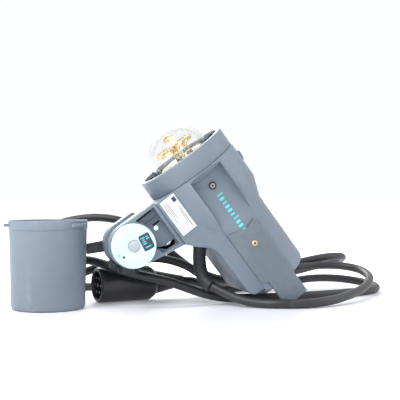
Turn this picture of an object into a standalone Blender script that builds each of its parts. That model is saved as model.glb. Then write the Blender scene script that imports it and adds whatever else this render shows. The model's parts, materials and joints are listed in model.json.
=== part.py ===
"""Pack-powered studio flash head on its tilting bracket, with its protective cap and lamp cable.

The head lies on a table: the tails of its side plates touch the table and its nose points up.
Head pieces are modelled along the head's own axis: X from the nose to the tail, Z away from the
bracket, and the empty head_axis tilts that frame. All sizes are in metres.
"""
import math

import bmesh
import bpy
from mathutils import Matrix, Vector

MM = 0.001
GAP = 0.3 * MM              # between pieces that touch

# Whole object
HEAD_TILT = math.radians(53)        # nose above the horizontal
GROUND_X = 30.1 * MM                # the nose's foot point in the part's frame
GROUND_Y = -2.8 * MM

# Head: X along the axis from the nose, radii across it
RING_RADIUS = 64 * MM
RING_WALL = 6 * MM
RING_LENGTH = 26 * MM
BARREL_RADIUS = 65 * MM
BARREL_STEP = 78 * MM               # where the wide barrel ends
NECK_RADIUS = 55 * MM
NECK_START = 106 * MM
HEAD_LENGTH = 209 * MM
SHELL_WALL = 3 * MM
REAR_ROUND = 6 * MM
REAR_OPENING = 45 * MM
FLAT_HALF_WIDTH = 50 * MM           # flats on both sides of the barrel
FLAT_HALF_HEIGHT = 24 * MM
FLAT_START = 38 * MM
RAMP_START = 27 * MM
RAMP_CORNERS = 7 * MM                # the ramp is this much shorter at its corners
KEEL_HALF_WIDTH = 47 * MM
KEEL_DEPTH = 71.5 * MM
KEEL_END = 88 * MM                  # where the keel's arch begins
BELLY_DEPTH = 43 * MM
BELLY_END = HEAD_LENGTH - 9 * MM

# Side plates
PLATE_THICKNESS = 2.5 * MM
TAIL_THICKNESS = 9 * MM
PLATE_START = 121 * MM
PLATE_SLANT = 14 * MM
PLATE_STEP = HEAD_LENGTH - 16 * MM
TAIL_END = HEAD_LENGTH + 29 * MM
TAIL_LOW = -15 * MM
TAIL_HIGH = 20.6 * MM

# Bracket and stand mount
TILT_ALONG = 51.6 * MM              # tilt axis in the head's frame
TILT_BELOW = -126 * MM
BOSS_RADIUS = 29.5 * MM
ARM_HALF_WIDTH = 36.5 * MM
FORK_HALF_WIDTH = 16 * MM
BOLT_RADIUS = 5 * MM
DISC_THICKNESS = 8 * MM
DISC_RADIUS = 28.3 * MM
WASHER_THICKNESS = 1 * MM
SPIGOT_BORE = 8.1 * MM              # a 16 mm stand spigot goes in
SOCKET_RADIUS = 13.5 * MM
SOCKET_REACH = 38 * MM
LEVER_LENGTH = 52 * MM

# Light unit
DOME_RADIUS = 41 * MM
DOME_WALL = 2 * MM
DOME_TOP = 41 * MM                  # beyond the nose
TUBE_RADIUS = 24 * MM
ROD_OFFSET = 34 * MM

# Protective cap
CAP_X = -171 * MM
CAP_Y = 19 * MM
CAP_RADIUS = 50.5 * MM
CAP_BASE_RADIUS = 47.5 * MM
CAP_HEIGHT = 114 * MM
CAP_WALL = 2.5 * MM
CAP_RIM_HEIGHT = 12 * MM
LUG_REACH = 56.5 * MM

# Cable and plug
CABLE_RADIUS = 6 * MM
PLUG_RADIUS = 24 * MM
PLUG_LENGTH = 84 * MM
PLUG_TAIL_LENGTH = 46 * MM
PLUG_NOSE = Vector((-104, 54, 24)) * MM      # centre of the plug's end face
PLUG_AIM = math.radians(13)                  # turn of the plug's axis from X


# ---------------------------------------------------------------- frames and materials

def clear_scene():
    for item in list(bpy.data.objects):
        bpy.data.objects.remove(item, do_unlink=True)


def empty(name, location, parent=None, rotation=(0, 0, 0)):
    frame = bpy.data.objects.new(name, None)
    bpy.context.scene.collection.objects.link(frame)
    frame.location = location
    frame.rotation_euler = rotation
    frame.parent = parent
    return frame


def material(name, color, roughness, metallic=0.0):
    made = bpy.data.materials.get(name) or bpy.data.materials.new(name)
    made.use_nodes = True
    shader = made.node_tree.nodes["Principled BSDF"]
    shader.inputs["Base Color"].default_value = (*color, 1)
    shader.inputs["Roughness"].default_value = roughness
    shader.inputs["Metallic"].default_value = metallic
    return made


def housing_plastic():
    return material("housing_plastic", (0.24, 0.30, 0.37), 0.5)


def black_plastic():
    return material("black_plastic", (0.015, 0.015, 0.017), 0.45)


def black_rubber():
    return material("black_rubber", (0.03, 0.03, 0.035), 0.7)


def cable_rubber():
    return material("cable_rubber", (0.09, 0.09, 0.11), 0.55)


def steel():
    return material("steel", (0.6, 0.6, 0.6), 0.3, 1.0)


def brass():
    return material("brass", (0.7, 0.5, 0.25), 0.35, 1.0)


def aluminium():
    return material("aluminium", (0.75, 0.76, 0.78), 0.35, 1.0)


def ceramic():
    return material("ceramic", (0.85, 0.80, 0.68), 0.6)


def glass():
    return material("glass", (0.93, 0.95, 0.96), 0.05)


def board_green():
    return material("board_green", (0.05, 0.25, 0.12), 0.5)


def mint_plastic():
    return material("mint_plastic", (0.62, 0.85, 0.84), 0.4)


def label_silver():
    return material("label_silver", (0.78, 0.80, 0.78), 0.4)


# ---------------------------------------------------------------- shape helpers

def place(name, mesh, finish, frame, shift=(0, 0, 0)):
    """Make an object from a bmesh, with its origin on its frame's axis."""
    bmesh.ops.remove_doubles(mesh, verts=mesh.verts, dist=0.001 * MM)
    bmesh.ops.recalc_face_normals(mesh, faces=mesh.faces)
    data = bpy.data.meshes.new(name)
    mesh.to_mesh(data)
    mesh.free()
    data.shade_smooth()
    data.set_sharp_from_angle(angle=math.radians(35))
    made = bpy.data.objects.new(name, data)
    bpy.context.scene.collection.objects.link(made)
    data.materials.append(finish)
    made.parent = frame
    made.location = shift
    return made


def lathe(profile, steps=32):
    """Turn (along, radius) points about X. A profile off the axis is closed into a ring."""
    mesh = bmesh.new()
    points = [mesh.verts.new((along, 0, radius)) for along, radius in profile]
    pairs = list(zip(points, points[1:]))
    if profile[0][1] > 0:
        pairs.append((points[-1], points[0]))
    edges = [mesh.edges.new(pair) for pair in pairs]
    bmesh.ops.spin(mesh, geom=points + edges, cent=(0, 0, 0), axis=(1, 0, 0),
                   angle=math.tau, steps=steps, use_merge=True)
    bmesh.ops.remove_doubles(mesh, verts=mesh.verts, dist=0.001 * MM)
    return mesh


def rod(start, end, radius, steps=24):
    """A round bar along X."""
    circle = arc(0, 0, radius, 0, 360 - 360 / steps, steps - 1)
    return plate_across(circle, start, end)


def tube(start, end, inner, outer, steps=32):
    return lathe([(start, inner), (start, outer), (end, outer), (end, inner)], steps)


def prism(outline, low, high):
    """Extrude (x, z) points from y = low to y = high."""
    mesh = bmesh.new()
    face = mesh.faces.new([mesh.verts.new((x, low, z)) for x, z in outline])
    sides = bmesh.ops.extrude_face_region(mesh, geom=[face])
    moved = [item for item in sides["geom"] if isinstance(item, bmesh.types.BMVert)]
    bmesh.ops.translate(mesh, vec=(0, high - low, 0), verts=moved)
    return mesh


def block(low, high):
    (x0, y0, z0), (x1, y1, z1) = low, high
    return prism([(x0, z0), (x1, z0), (x1, z1), (x0, z1)], y0, y1)


def turned(mesh, matrix):
    bmesh.ops.transform(mesh, matrix=matrix, verts=mesh.verts)
    return mesh


def moved(mesh, x, y, z):
    return turned(mesh, Matrix.Translation((x, y, z)))


def along_y(mesh):
    """Turn a shape made along X so that it runs along Y."""
    return turned(mesh, Matrix.Rotation(math.radians(90), 4, "Z"))


def along_z(mesh):
    """Turn a shape made along X so that it runs along Z."""
    return turned(mesh, Matrix.Rotation(math.radians(-90), 4, "Y"))


def arc(x, z, radius, start, end, steps):
    """Points on a circle in the XZ plane, angles in degrees."""
    angles = [math.radians(start + (end - start) * step / steps) for step in range(steps + 1)]
    return [(x + radius * math.cos(a), z + radius * math.sin(a)) for a in angles]


def combine(target, mesh, operation):
    """Cut, join or intersect a piece with a hidden helper shape."""
    helper = place("helper_" + target.name, mesh, target.data.materials[0], target.parent,
                   target.location)
    helper.hide_render = True
    helper.display_type = "WIRE"
    step = target.modifiers.new(operation.lower(), "BOOLEAN")
    step.operation = operation
    step.object = helper
    step.solver = "EXACT"
    return target


def cut(target, mesh):
    return combine(target, mesh, "DIFFERENCE")


def join(target, mesh):
    return combine(target, mesh, "UNION")


def slab(outline, low, high):
    """Extrude (x, y) points from z = low to z = high."""
    mesh = prism(outline, low, high)
    return turned(mesh, Matrix(((1, 0, 0, 0), (0, 0, 1, 0), (0, 1, 0, 0), (0, 0, 0, 1))))


def plate_across(outline, low, high):
    """Extrude (y, z) points from x = low to x = high."""
    return turned(prism(outline, low, high),
                  Matrix(((0, 1, 0, 0), (1, 0, 0, 0), (0, 0, 1, 0), (0, 0, 0, 1))))


def round_plate(radius, side_limit, low_limit, steps=40):
    """A circle's (y, z) points, flattened at both sides and below."""
    circle = arc(0, 0, radius, 0, 360 - 360 / steps, steps - 1)
    return [(max(-side_limit, min(side_limit, y)), max(low_limit, z)) for y, z in circle]


def head_point(along, above, ring_height):
    """A point of the head's XZ plane as ground coordinates."""
    return Vector((along * math.cos(HEAD_TILT) + above * math.sin(HEAD_TILT), 0,
                   ring_height - along * math.sin(HEAD_TILT) + above * math.cos(HEAD_TILT)))


def clamped(mesh, limit):
    """Flatten a turned shape's sides at y = -limit and y = +limit."""
    for vert in mesh.verts:
        vert.co.y = max(-limit, min(limit, vert.co.y))
    return mesh


def sweep(points, radii, steps=12):
    """Carry circles of the given radii along a path."""
    mesh = bmesh.new()
    places = [Vector(point) for point in points]
    ways = []
    for index in range(len(places)):
        before = places[max(index - 1, 0)]
        after = places[min(index + 1, len(places) - 1)]
        ways.append((after - before).normalized())
    side = ways[0].orthogonal().normalized()
    rings = []
    for middle, way, radius in zip(places, ways, radii):
        side = (side - way * side.dot(way)).normalized()
        other = way.cross(side)
        angles = [math.tau * step / steps for step in range(steps)]
        rings.append([mesh.verts.new(middle + (side * math.cos(a) + other * math.sin(a)) * radius)
                      for a in angles])
    for low, high in zip(rings, rings[1:]):
        for step in range(steps):
            after = (step + 1) % steps
            mesh.faces.new((low[step], low[after], high[after], high[step]))
    mesh.faces.new(reversed(rings[0]))
    mesh.faces.new(rings[-1])
    return mesh


# ---------------------------------------------------------------- head shells

def barrel_side(inset, start, end):
    """The barrel's side as (along, radius) points, moved inwards by inset."""
    return [(start, BARREL_RADIUS - inset), (BARREL_STEP, BARREL_RADIUS - inset),
            (NECK_START, NECK_RADIUS - inset), (end, NECK_RADIUS - inset)]


def barrel_solid():
    start = RING_LENGTH + GAP
    side = barrel_side(0, start, HEAD_LENGTH - REAR_ROUND)
    round_rear = [(HEAD_LENGTH - REAR_ROUND + REAR_ROUND * math.sin(a),
                   NECK_RADIUS - REAR_ROUND + REAR_ROUND * math.cos(a))
                  for a in (math.radians(30), math.radians(60), math.radians(90))]
    return lathe([(start, 0)] + side + round_rear + [(HEAD_LENGTH, 0)], 40)


def barrel_cavity():
    start = RING_LENGTH - 1 * MM
    rear = HEAD_LENGTH - 8 * MM
    side = barrel_side(SHELL_WALL, start, rear)
    lip = [(rear, REAR_OPENING), (HEAD_LENGTH + 1 * MM, REAR_OPENING)]
    mesh = lathe([(start, 0)] + side + lip + [(HEAD_LENGTH + 1 * MM, 0)], 40)
    return clamped(mesh, FLAT_HALF_WIDTH - SHELL_WALL)


def flat_cutter(side):
    far = BARREL_RADIUS + 5 * MM
    ramp = (FLAT_START - RAMP_START) / (BARREL_RADIUS - FLAT_HALF_WIDTH)
    outline = [(RAMP_START - ramp * 5 * MM, far), (FLAT_START, FLAT_HALF_WIDTH),
               (HEAD_LENGTH + 1 * MM, FLAT_HALF_WIDTH), (HEAD_LENGTH + 1 * MM, far)]
    outline = [(x, side * y) for x, y in outline]
    return slab(outline, -FLAT_HALF_HEIGHT, FLAT_HALF_HEIGHT)


def ramp_corner_cutter(side):
    """Takes the ramp's two rear corners away, which leaves it crescent-shaped."""
    heights = [FLAT_HALF_HEIGHT * step / 8 for step in range(-8, 9)]
    curve = [(FLAT_START - RAMP_CORNERS * (z / FLAT_HALF_HEIGHT) ** 2, z) for z in heights]
    rear = FLAT_START + 2 * MM
    outline = [(rear, -FLAT_HALF_HEIGHT), (rear, FLAT_HALF_HEIGHT)]
    return prism(curve + outline[::-1], *sorted((side * FLAT_HALF_WIDTH, side * (BARREL_RADIUS + 5 * MM))))


def screw_hole(along, radius):
    return moved(along_y(rod(-NECK_RADIUS * 1.3, NECK_RADIUS * 1.3, radius + GAP, 12)), along, 0, 0)


def upper_housing(head):
    shell = place("upper_housing", barrel_solid(), housing_plastic(), head)
    cut(shell, flat_cutter(1))
    cut(shell, flat_cutter(-1))
    cut(shell, ramp_corner_cutter(1))
    cut(shell, ramp_corner_cutter(-1))
    cut(shell, barrel_cavity())
    reach = HEAD_LENGTH + 9 * MM
    below = -FLAT_HALF_HEIGHT + GAP / 2
    cut(shell, block((0, -BARREL_RADIUS * 1.2, -BARREL_RADIUS * 1.2),
                     (reach, BARREL_RADIUS * 1.2, below)))
    cut(shell, screw_hole(HOUSING_SCREW, SCREW_RADIUS))
    cut(shell, screw_hole(PLATE_SCREW, SCREW_RADIUS))
    slot_end = SLIDE_START + SLIDE_STEM + SLIDE_TRAVEL + 1 * MM
    cut(shell, block((SLIDE_START + 3 * MM, -SLIDE_STEM / 2 - GAP, NECK_RADIUS),
                     (slot_end + 3 * MM, SLIDE_STEM / 2 + GAP, BARREL_RADIUS + 2 * MM)))
    return shell


def keel_outline(inset, start, top):
    """The lower housing's side view, (along, above), moved inwards by inset."""
    arch = [(KEEL_END - inset * 0.3, -KEEL_DEPTH + inset), (95 * MM - inset, -69 * MM + inset * 0.5),
            (102 * MM - inset, -62.5 * MM + inset * 0.3), (115 * MM - inset * 0.6, -48 * MM + inset),
            (127 * MM, -44 * MM + inset)]
    rear = BELLY_END - inset
    round_end = arc(rear - 9 * MM, -BELLY_DEPTH + inset + 9 * MM, 9 * MM, -90, 0, 4)
    return [(start, -KEEL_DEPTH + inset)] + arch + round_end + [(rear, top), (start, top)]


def lower_housing(head, boot_hole):
    """The barrel's lower side with the keel, cut to the keel's side view and hollowed."""
    front = RING_LENGTH + GAP
    reach = HEAD_LENGTH + 9 * MM
    above = -FLAT_HALF_HEIGHT - GAP / 2
    side = barrel_side(0, front - 5 * MM, reach)
    body = lathe([(front - 5 * MM, 0)] + side + [(reach, 0)], 40)
    shell = place("lower_housing", body, housing_plastic(), head)
    join(shell, block((front - 7 * MM, -KEEL_HALF_WIDTH, -KEEL_DEPTH - 5 * MM),
                      (reach + 2 * MM, KEEL_HALF_WIDTH, -10 * MM)))
    wide = BARREL_RADIUS + 5 * MM
    combine(shell, prism(keel_outline(0, front, above), -wide, wide), "INTERSECT")
    inner = KEEL_HALF_WIDTH - SHELL_WALL
    cut(shell, prism(keel_outline(SHELL_WALL, front + SHELL_WALL, 0), -inner, inner))
    cut(shell, rod(front - 5 * MM, front + SHELL_WALL + 1 * MM, NECK_RADIUS - 5 * MM, 32))
    cut(shell, boot_hole)
    return shell


def front_ring(head):
    inner = RING_RADIUS - RING_WALL
    profile = [(0, inner), (0, RING_RADIUS - 1 * MM), (1 * MM, RING_RADIUS),
               (RING_LENGTH, RING_RADIUS), (RING_LENGTH, inner)]
    return place("front_ring", lathe(profile, 40), housing_plastic(), head)


def side_plate(head, name, side):
    """A plate on the flat, with a thick tail that runs on behind the barrel."""
    inner = FLAT_HALF_WIDTH + GAP
    outer = inner + PLATE_THICKNESS
    high = FLAT_HALF_HEIGHT - GAP * 2
    lean = PLATE_SLANT / 2
    outline = [(PLATE_START - lean, -high), (PLATE_STEP, -high), (PLATE_STEP + 3 * MM, TAIL_LOW),
               (TAIL_END, TAIL_LOW), (TAIL_END, TAIL_HIGH), (PLATE_STEP + 3 * MM, TAIL_HIGH),
               (PLATE_STEP, high), (PLATE_START + lean, high)]
    low, top = sorted((side * inner, side * outer))
    plate = place(name, prism(outline, low, top), housing_plastic(), head)
    inside, outside = sorted((side * (outer - TAIL_THICKNESS), side * (inner + 1 * MM)))
    join(plate, block((HEAD_LENGTH + GAP, inside, TAIL_LOW + 1 * MM),
                      (TAIL_END - 1 * MM, outside, TAIL_HIGH - 1 * MM)))
    cut(plate, screw_hole(PLATE_SCREW, SCREW_RADIUS))
    return plate


HOUSING_SCREW = 51 * MM             # along the axis, on both flats
PLATE_SCREW = 144 * MM
SCREW_RADIUS = 1.8 * MM


def side_screw(head, name, along, seat, head_radius, side):
    profile = [(seat - 7 * MM, 0), (seat - 7 * MM, SCREW_RADIUS), (seat + GAP, SCREW_RADIUS),
               (seat + GAP, head_radius), (seat + 1.2 * MM, head_radius), (seat + 1.2 * MM, 0)]
    mesh = along_y(lathe([(x * side, r) for x, r in profile], 16))
    return place(name, mesh, steel(), head, (along, 0, 0))


def all_side_screws(head):
    plate_face = FLAT_HALF_WIDTH + GAP + PLATE_THICKNESS
    for word, side in (("near", -1), ("far", 1)):
        side_screw(head, word + "_housing_screw", HOUSING_SCREW, FLAT_HALF_WIDTH, 5 * MM, side)
        side_screw(head, word + "_plate_screw", PLATE_SCREW, plate_face, 4 * MM, side)


LABEL_TOP = -46.5 * MM


def type_label(head):
    barrel = math.sqrt(BARREL_RADIUS ** 2 - LABEL_TOP ** 2)
    low = -max(KEEL_HALF_WIDTH, barrel) - GAP
    mesh = block((28 * MM, low - 0.5 * MM, -69 * MM), (80 * MM, low, LABEL_TOP))
    return place("type_label", mesh, label_silver(), head)


SLIDE_START = 40 * MM               # bayonet release, on top of the barrel
SLIDE_LENGTH = 16 * MM
SLIDE_STEM = 5 * MM
SLIDE_TRAVEL = 6 * MM


def release_slide(frame):
    """Thumb slide with a stem through the housing's slot; X = 0 at its front edge."""
    top = BARREL_RADIUS + GAP
    ramp = [(0, top), (SLIDE_LENGTH, top), (SLIDE_LENGTH - 2 * MM, top + 2.5 * MM),
            (4 * MM, top + 3.5 * MM), (2 * MM, top + 3 * MM)]
    slide = place("release_slide", prism(ramp, -8 * MM, 8 * MM), housing_plastic(), frame)
    half = SLIDE_STEM / 2
    stem = block((3.5 * MM, -half, BARREL_RADIUS - 8 * MM),
                 (3.5 * MM + SLIDE_STEM, half, top + 1 * MM))
    return join(slide, stem)


def release_spring(head):
    """Compression spring between the slide's stem and the housing."""
    start = SLIDE_START + 3.5 * MM + SLIDE_STEM + GAP
    length, turns, radius = 12 * MM, 5, 2.2 * MM
    count = turns * 8
    points = []
    for step in range(count + 1):
        angle = math.tau * turns * step / count
        points.append((start + 0.5 * MM + length * step / count, radius * math.cos(angle),
                       BARREL_RADIUS - 6 * MM + radius * math.sin(angle)))
    return place("release_spring", sweep(points, [0.4 * MM] * len(points), 5), steel(), head)


# ---------------------------------------------------------------- bracket and stand mount

ARM_FRONT = 24 * MM
ARM_REAR = 92 * MM
ARM_TOP = -KEEL_DEPTH - GAP
ARM_ROOT = 4.5 * MM                 # thickness of the root plate and of the flanges
WEB_INNER = 19 * MM
WEB_OUTER = 22 * MM
SOCKET_CLEARANCE = 3.2 * MM


def tilt_arc(radius, start, end, steps):
    return arc(TILT_ALONG, TILT_BELOW, radius, start, end, steps)


def bracket_arm(head):
    outline = [(ARM_FRONT, ARM_TOP)] + tilt_arc(BOSS_RADIUS, 180, 349, 14) + [(ARM_REAR, ARM_TOP)]
    arm = place("bracket_arm", prism(outline, -ARM_HALF_WIDTH, ARM_HALF_WIDTH), housing_plastic(),
                head)
    cut(arm, prism(tilt_arc(SOCKET_REACH + SOCKET_CLEARANCE, 0, 345, 23),
                   -FORK_HALF_WIDTH, FORK_HALF_WIDTH))
    roof = ARM_TOP - ARM_ROOT
    front = ARM_FRONT + ARM_ROOT
    rear = ARM_REAR - ARM_ROOT - 1 * MM
    web_low = TILT_BELOW + BOSS_RADIUS + 3 * MM
    cut(arm, block((front, -WEB_INNER, web_low), (rear, WEB_INNER, roof)))
    pocket = [(front, roof), (rear, roof), (rear - 3 * MM, roof - 24 * MM)]
    pocket += tilt_arc(BOSS_RADIUS + 1 * MM, 45, 135, 6)[0:] + [(front, TILT_BELOW + 22 * MM)]
    for side in (-1, 1):
        low, high = sorted((side * WEB_OUTER, side * (ARM_HALF_WIDTH + 1 * MM)))
        cut(arm, prism(pocket, low, high))
    cut(arm, moved(along_y(rod(-ARM_HALF_WIDTH, 0, 3.2 * MM, 12)), 54 * MM, 0, -86.7 * MM))
    cut(arm, block((79 * MM, -ARM_HALF_WIDTH + 8 * MM, -91 * MM), (84.5 * MM, 0, -77 * MM)))
    cut(arm, block((56 * MM, WEB_INNER - 1 * MM, -92 * MM),
                   (ARM_REAR + 5 * MM, ARM_HALF_WIDTH + 1 * MM, ARM_TOP + 1 * MM)))
    cut(arm, moved(along_y(rod(-ARM_HALF_WIDTH - 1 * MM, ARM_HALF_WIDTH + 1 * MM,
                               BOLT_RADIUS + GAP, 16)), TILT_ALONG, 0, TILT_BELOW))
    return arm


def stand_socket(tilt):
    """Tongue and tube for a stand's spigot; the tilt axis is its origin."""
    half = FORK_HALF_WIDTH - WASHER_THICKNESS - 2 * GAP
    socket = place("stand_socket", along_y(rod(-half, half, 15 * MM, 24)), black_plastic(), tilt)
    join(socket, along_z(rod(-SOCKET_REACH + 0.5 * MM, 0, SOCKET_RADIUS, 24)))
    cut(socket, along_z(rod(-SOCKET_REACH - 1 * MM, -8 * MM, SPIGOT_BORE, 24)))
    cut(socket, along_y(rod(-half - 1 * MM, half + 1 * MM, BOLT_RADIUS + GAP, 16)))
    cut(socket, moved(rod(-SOCKET_RADIUS - 2 * MM, 0, 3 * MM + GAP, 12), 0, 0, -LOCK_DEPTH))
    return socket


LOCK_DEPTH = 24 * MM                # lock screw below the tilt axis


def lock_screw(frame):
    """Knob and thread along X; its axis is its origin."""
    thread = SPIGOT_BORE + 0.5 * MM
    knob = SOCKET_RADIUS + 1 * MM
    profile = [(-thread, 0), (-thread, 3 * MM), (-knob, 3 * MM), (-knob, 6.5 * MM),
               (-knob - 9 * MM, 6.5 * MM), (-knob - 10 * MM, 5.5 * MM), (-knob - 10 * MM, 0)]
    return place("lock_screw", lathe(profile, 12), black_plastic(), frame)


def washer(tilt, name, side):
    start = side * (FORK_HALF_WIDTH - GAP)
    end = side * (FORK_HALF_WIDTH - GAP - WASHER_THICKNESS)
    return place(name, along_y(tube(start, end, BOLT_RADIUS + GAP, 14 * MM, 20)), steel(), tilt)


def tilt_bolt(tilt):
    lever_top = ARM_HALF_WIDTH + GAP + LEVER_HUB
    profile = [(-ARM_HALF_WIDTH, 0), (-ARM_HALF_WIDTH, BOLT_RADIUS), (lever_top + 1 * MM, BOLT_RADIUS),
               (lever_top + 1 * MM, 0)]
    return place("tilt_bolt", along_y(lathe(profile, 16)), steel(), tilt)


LEVER_HUB = 12 * MM                 # hub length along the tilt axis
LEVER_DROP = math.radians(-9)       # the lever points a little down at rest


def clamp_lever(tilt):
    low = ARM_HALF_WIDTH + GAP
    high = low + LEVER_HUB
    lever = place("clamp_lever", along_y(rod(low, high, 14 * MM, 24)), black_plastic(), tilt)
    outline = [(-LEVER_LENGTH, -5 * MM), (-LEVER_LENGTH, 5 * MM), (-LEVER_LENGTH + 2 * MM, 7 * MM),
               (0, 8 * MM), (0, -8 * MM), (-LEVER_LENGTH + 2 * MM, -7 * MM)]
    bar = prism(outline, low + 2 * MM, high - 1 * MM)
    join(lever, turned(bar, Matrix.Rotation(LEVER_DROP, 4, "Y")))
    cut(lever, along_y(rod(low - 1 * MM, high + 1 * MM, BOLT_RADIUS + GAP, 16)))
    return lever


def lever_nut(tilt):
    start = ARM_HALF_WIDTH + LEVER_HUB + 1 * MM + 2 * GAP
    profile = [(start, 0), (start, 7 * MM), (start + 4 * MM, 7 * MM), (start + 4 * MM, 0)]
    return place("lever_nut", along_y(lathe(profile, 6)), steel(), tilt)


def tilt_disc(tilt):
    inner = -ARM_HALF_WIDTH - GAP
    outer = inner - DISC_THICKNESS
    profile = [(inner, 0), (inner, DISC_RADIUS), (outer + 1.5 * MM, DISC_RADIUS),
               (outer, DISC_RADIUS - 1.5 * MM), (outer, 8 * MM), (outer + 1.5 * MM, 8 * MM),
               (outer + 1.5 * MM, 0)]
    return place("tilt_disc", along_y(lathe(profile, 40)), mint_plastic(), tilt)


def disc_button(tilt):
    seat = -ARM_HALF_WIDTH - DISC_THICKNESS + 1.5 * MM - 2 * GAP
    profile = [(seat, 0), (seat, 7 * MM), (seat - 2 * MM, 7 * MM), (seat - 2 * MM, 0)]
    return place("disc_button", along_y(lathe(profile, 20)), label_silver(), tilt)


# ---------------------------------------------------------------- light unit

RETAINER_START = 7 * MM
RETAINER_TEETH = 16
BASE_FRONT = 3 * MM
BASE_REAR = 20 * MM
BASE_RADIUS = 36 * MM
SOCKET_REAR = 43.7 * MM
CARRIAGE_START = 44 * MM
CARRIAGE_THICKNESS = 4 * MM
BULKHEAD_START = 111 * MM
BULKHEAD_LOW = -36 * MM             # clear of the cable's entry
SCREW_HEIGHT = 34 * MM              # lead screw above the axis


def dome_retainer(head):
    """Fixed black ring inside the nose, with teeth that stand forward."""
    outer = RING_RADIUS - RING_WALL - GAP
    ring = place("dome_retainer",
                 tube(RETAINER_START, RETAINER_START + 4 * MM,
                      min(DOME_RADIUS + 6 * MM, outer - 2 * MM), outer, 32),
                 black_plastic(), head)
    teeth = bmesh.new()
    for index in range(RETAINER_TEETH):
        tooth = block((RETAINER_START - 4 * MM, -3.5 * MM, outer - 5.7 * MM),
                      (RETAINER_START + 1 * MM, 3.5 * MM, outer - 1.7 * MM))
        turned(tooth, Matrix.Rotation(math.tau * (index + 0.5) / RETAINER_TEETH, 4, "X"))
        part = bpy.data.meshes.new("tooth")
        tooth.to_mesh(part)
        tooth.free()
        teeth.from_mesh(part)
        bpy.data.meshes.remove(part)
    return join(ring, teeth)


def reflector_plate(head):
    inner = BASE_RADIUS + GAP
    outer = FLAT_HALF_WIDTH - SHELL_WALL - 1 * MM
    profile = [(13 * MM, inner), (12 * MM, outer), (14 * MM, outer), (15 * MM, inner)]
    return place("reflector_plate", lathe(profile, 32), ceramic(), head)


def tube_base(carriage):
    profile = [(BASE_FRONT, 0), (BASE_FRONT, 32 * MM), (8 * MM, BASE_RADIUS), (BASE_REAR, BASE_RADIUS),
               (BASE_REAR, 0)]
    base = place("tube_base", lathe(profile, 32), ceramic(), carriage)
    for angle in ELECTRODE_ANGLES:
        y, z = TUBE_RADIUS * math.cos(angle), TUBE_RADIUS * math.sin(angle)
        cut(base, moved(rod(0, 10 * MM, 4.5 * MM + GAP, 12), 0, y, z))
    cut(base, rod(0, 10 * MM, 7 * MM + GAP, 16))
    return base


ELECTRODE_ANGLES = (math.radians(200), math.radians(160))


def lamp_socket(carriage):
    mesh = rod(BASE_REAR + GAP, SOCKET_REAR, 14 * MM, 20)
    return place("lamp_socket", mesh, ceramic(), carriage)


def flash_tube(carriage):
    """Ring tube that opens on one side, with a leg at each end."""
    front = -14 * MM
    start, end = math.radians(200), math.radians(520)
    points = [(-2 * MM, TUBE_RADIUS * math.cos(start), TUBE_RADIUS * math.sin(start)),
              (front + 5 * MM, TUBE_RADIUS * math.cos(start), TUBE_RADIUS * math.sin(start))]
    for step in range(25):
        angle = start + (end - start) * step / 24
        points.append((front, TUBE_RADIUS * math.cos(angle), TUBE_RADIUS * math.sin(angle)))
    points.append((front + 5 * MM, TUBE_RADIUS * math.cos(end), TUBE_RADIUS * math.sin(end)))
    points.append((-2 * MM, TUBE_RADIUS * math.cos(end), TUBE_RADIUS * math.sin(end)))
    radii = [3.4 * MM] * len(points)
    return place("flash_tube", sweep(points, radii, 8), glass(), carriage)


def tube_electrode(carriage, name, angle):
    y, z = TUBE_RADIUS * math.cos(angle), TUBE_RADIUS * math.sin(angle)
    mesh = moved(rod(-2 * MM + GAP, 9 * MM, 4.5 * MM, 12), 0, y, z)
    return place(name, mesh, steel(), carriage)


def modelling_lamp(carriage):
    """Halogen capsule on its base pin block."""
    profile = [(9 * MM, 0), (9 * MM, 7 * MM), (0, 7 * MM), (-2 * MM, 8 * MM), (-27 * MM, 8 * MM),
               (-31 * MM, 5 * MM), (-33 * MM, 0)]
    return place("modelling_lamp", lathe(profile, 16), brass(), carriage)


def glass_dome(carriage):
    inner = DOME_RADIUS - DOME_WALL
    centre = DOME_RADIUS - DOME_TOP
    steps = 6
    angles = [math.radians(90 * step / steps) for step in range(steps + 1)]
    outside = [(centre - DOME_RADIUS * math.sin(a), DOME_RADIUS * math.cos(a)) for a in angles]
    inside = [(centre - inner * math.sin(a), inner * math.cos(a)) for a in reversed(angles)]
    outside[-1] = (outside[-1][0], 0)
    inside[0] = (inside[0][0], 0)
    foot = 11.5 * MM
    profile = list(reversed(outside)) + [(foot, DOME_RADIUS), (foot, inner)] + list(reversed(inside))
    return place("glass_dome", lathe(profile, 24), glass(), carriage)


def carriage_plate(carriage):
    plate = place("focus_carriage",
                  rod(CARRIAGE_START, CARRIAGE_START + CARRIAGE_THICKNESS, 42 * MM, 32),
                  aluminium(), carriage)
    for y, z in ((-ROD_OFFSET, 0), (ROD_OFFSET, 0), (0, SCREW_HEIGHT)):
        cut(plate, moved(rod(CARRIAGE_START - 1 * MM, CARRIAGE_START + 6 * MM, 3 * MM + GAP, 12),
                         0, y, z))
    return plate


def guide_rod(head, name, side):
    mesh = moved(rod(38 * MM, BULKHEAD_START + 3 * MM, 3 * MM, 12), 0, side * ROD_OFFSET, 0)
    return place(name, mesh, steel(), head)


def bulkhead(head):
    wall = NECK_RADIUS - SHELL_WALL - GAP
    outline = round_plate(wall, KEEL_HALF_WIDTH - SHELL_WALL - GAP, BULKHEAD_LOW)
    disc = plate_across(outline, BULKHEAD_START, BULKHEAD_START + 4 * MM)
    plate = place("bulkhead", disc, aluminium(), head)
    for y, z in ((-ROD_OFFSET, 0), (ROD_OFFSET, 0), (0, SCREW_HEIGHT)):
        cut(plate, moved(rod(BULKHEAD_START - 1 * MM, BULKHEAD_START + 6 * MM, 3 * MM + GAP, 12),
                         0, y, z))
    cut(plate, moved(rod(BULKHEAD_START - 1 * MM, BULKHEAD_START + 6 * MM, 22 * MM, 24),
                     0, 0, FAN_HEIGHT))
    return plate


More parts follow.
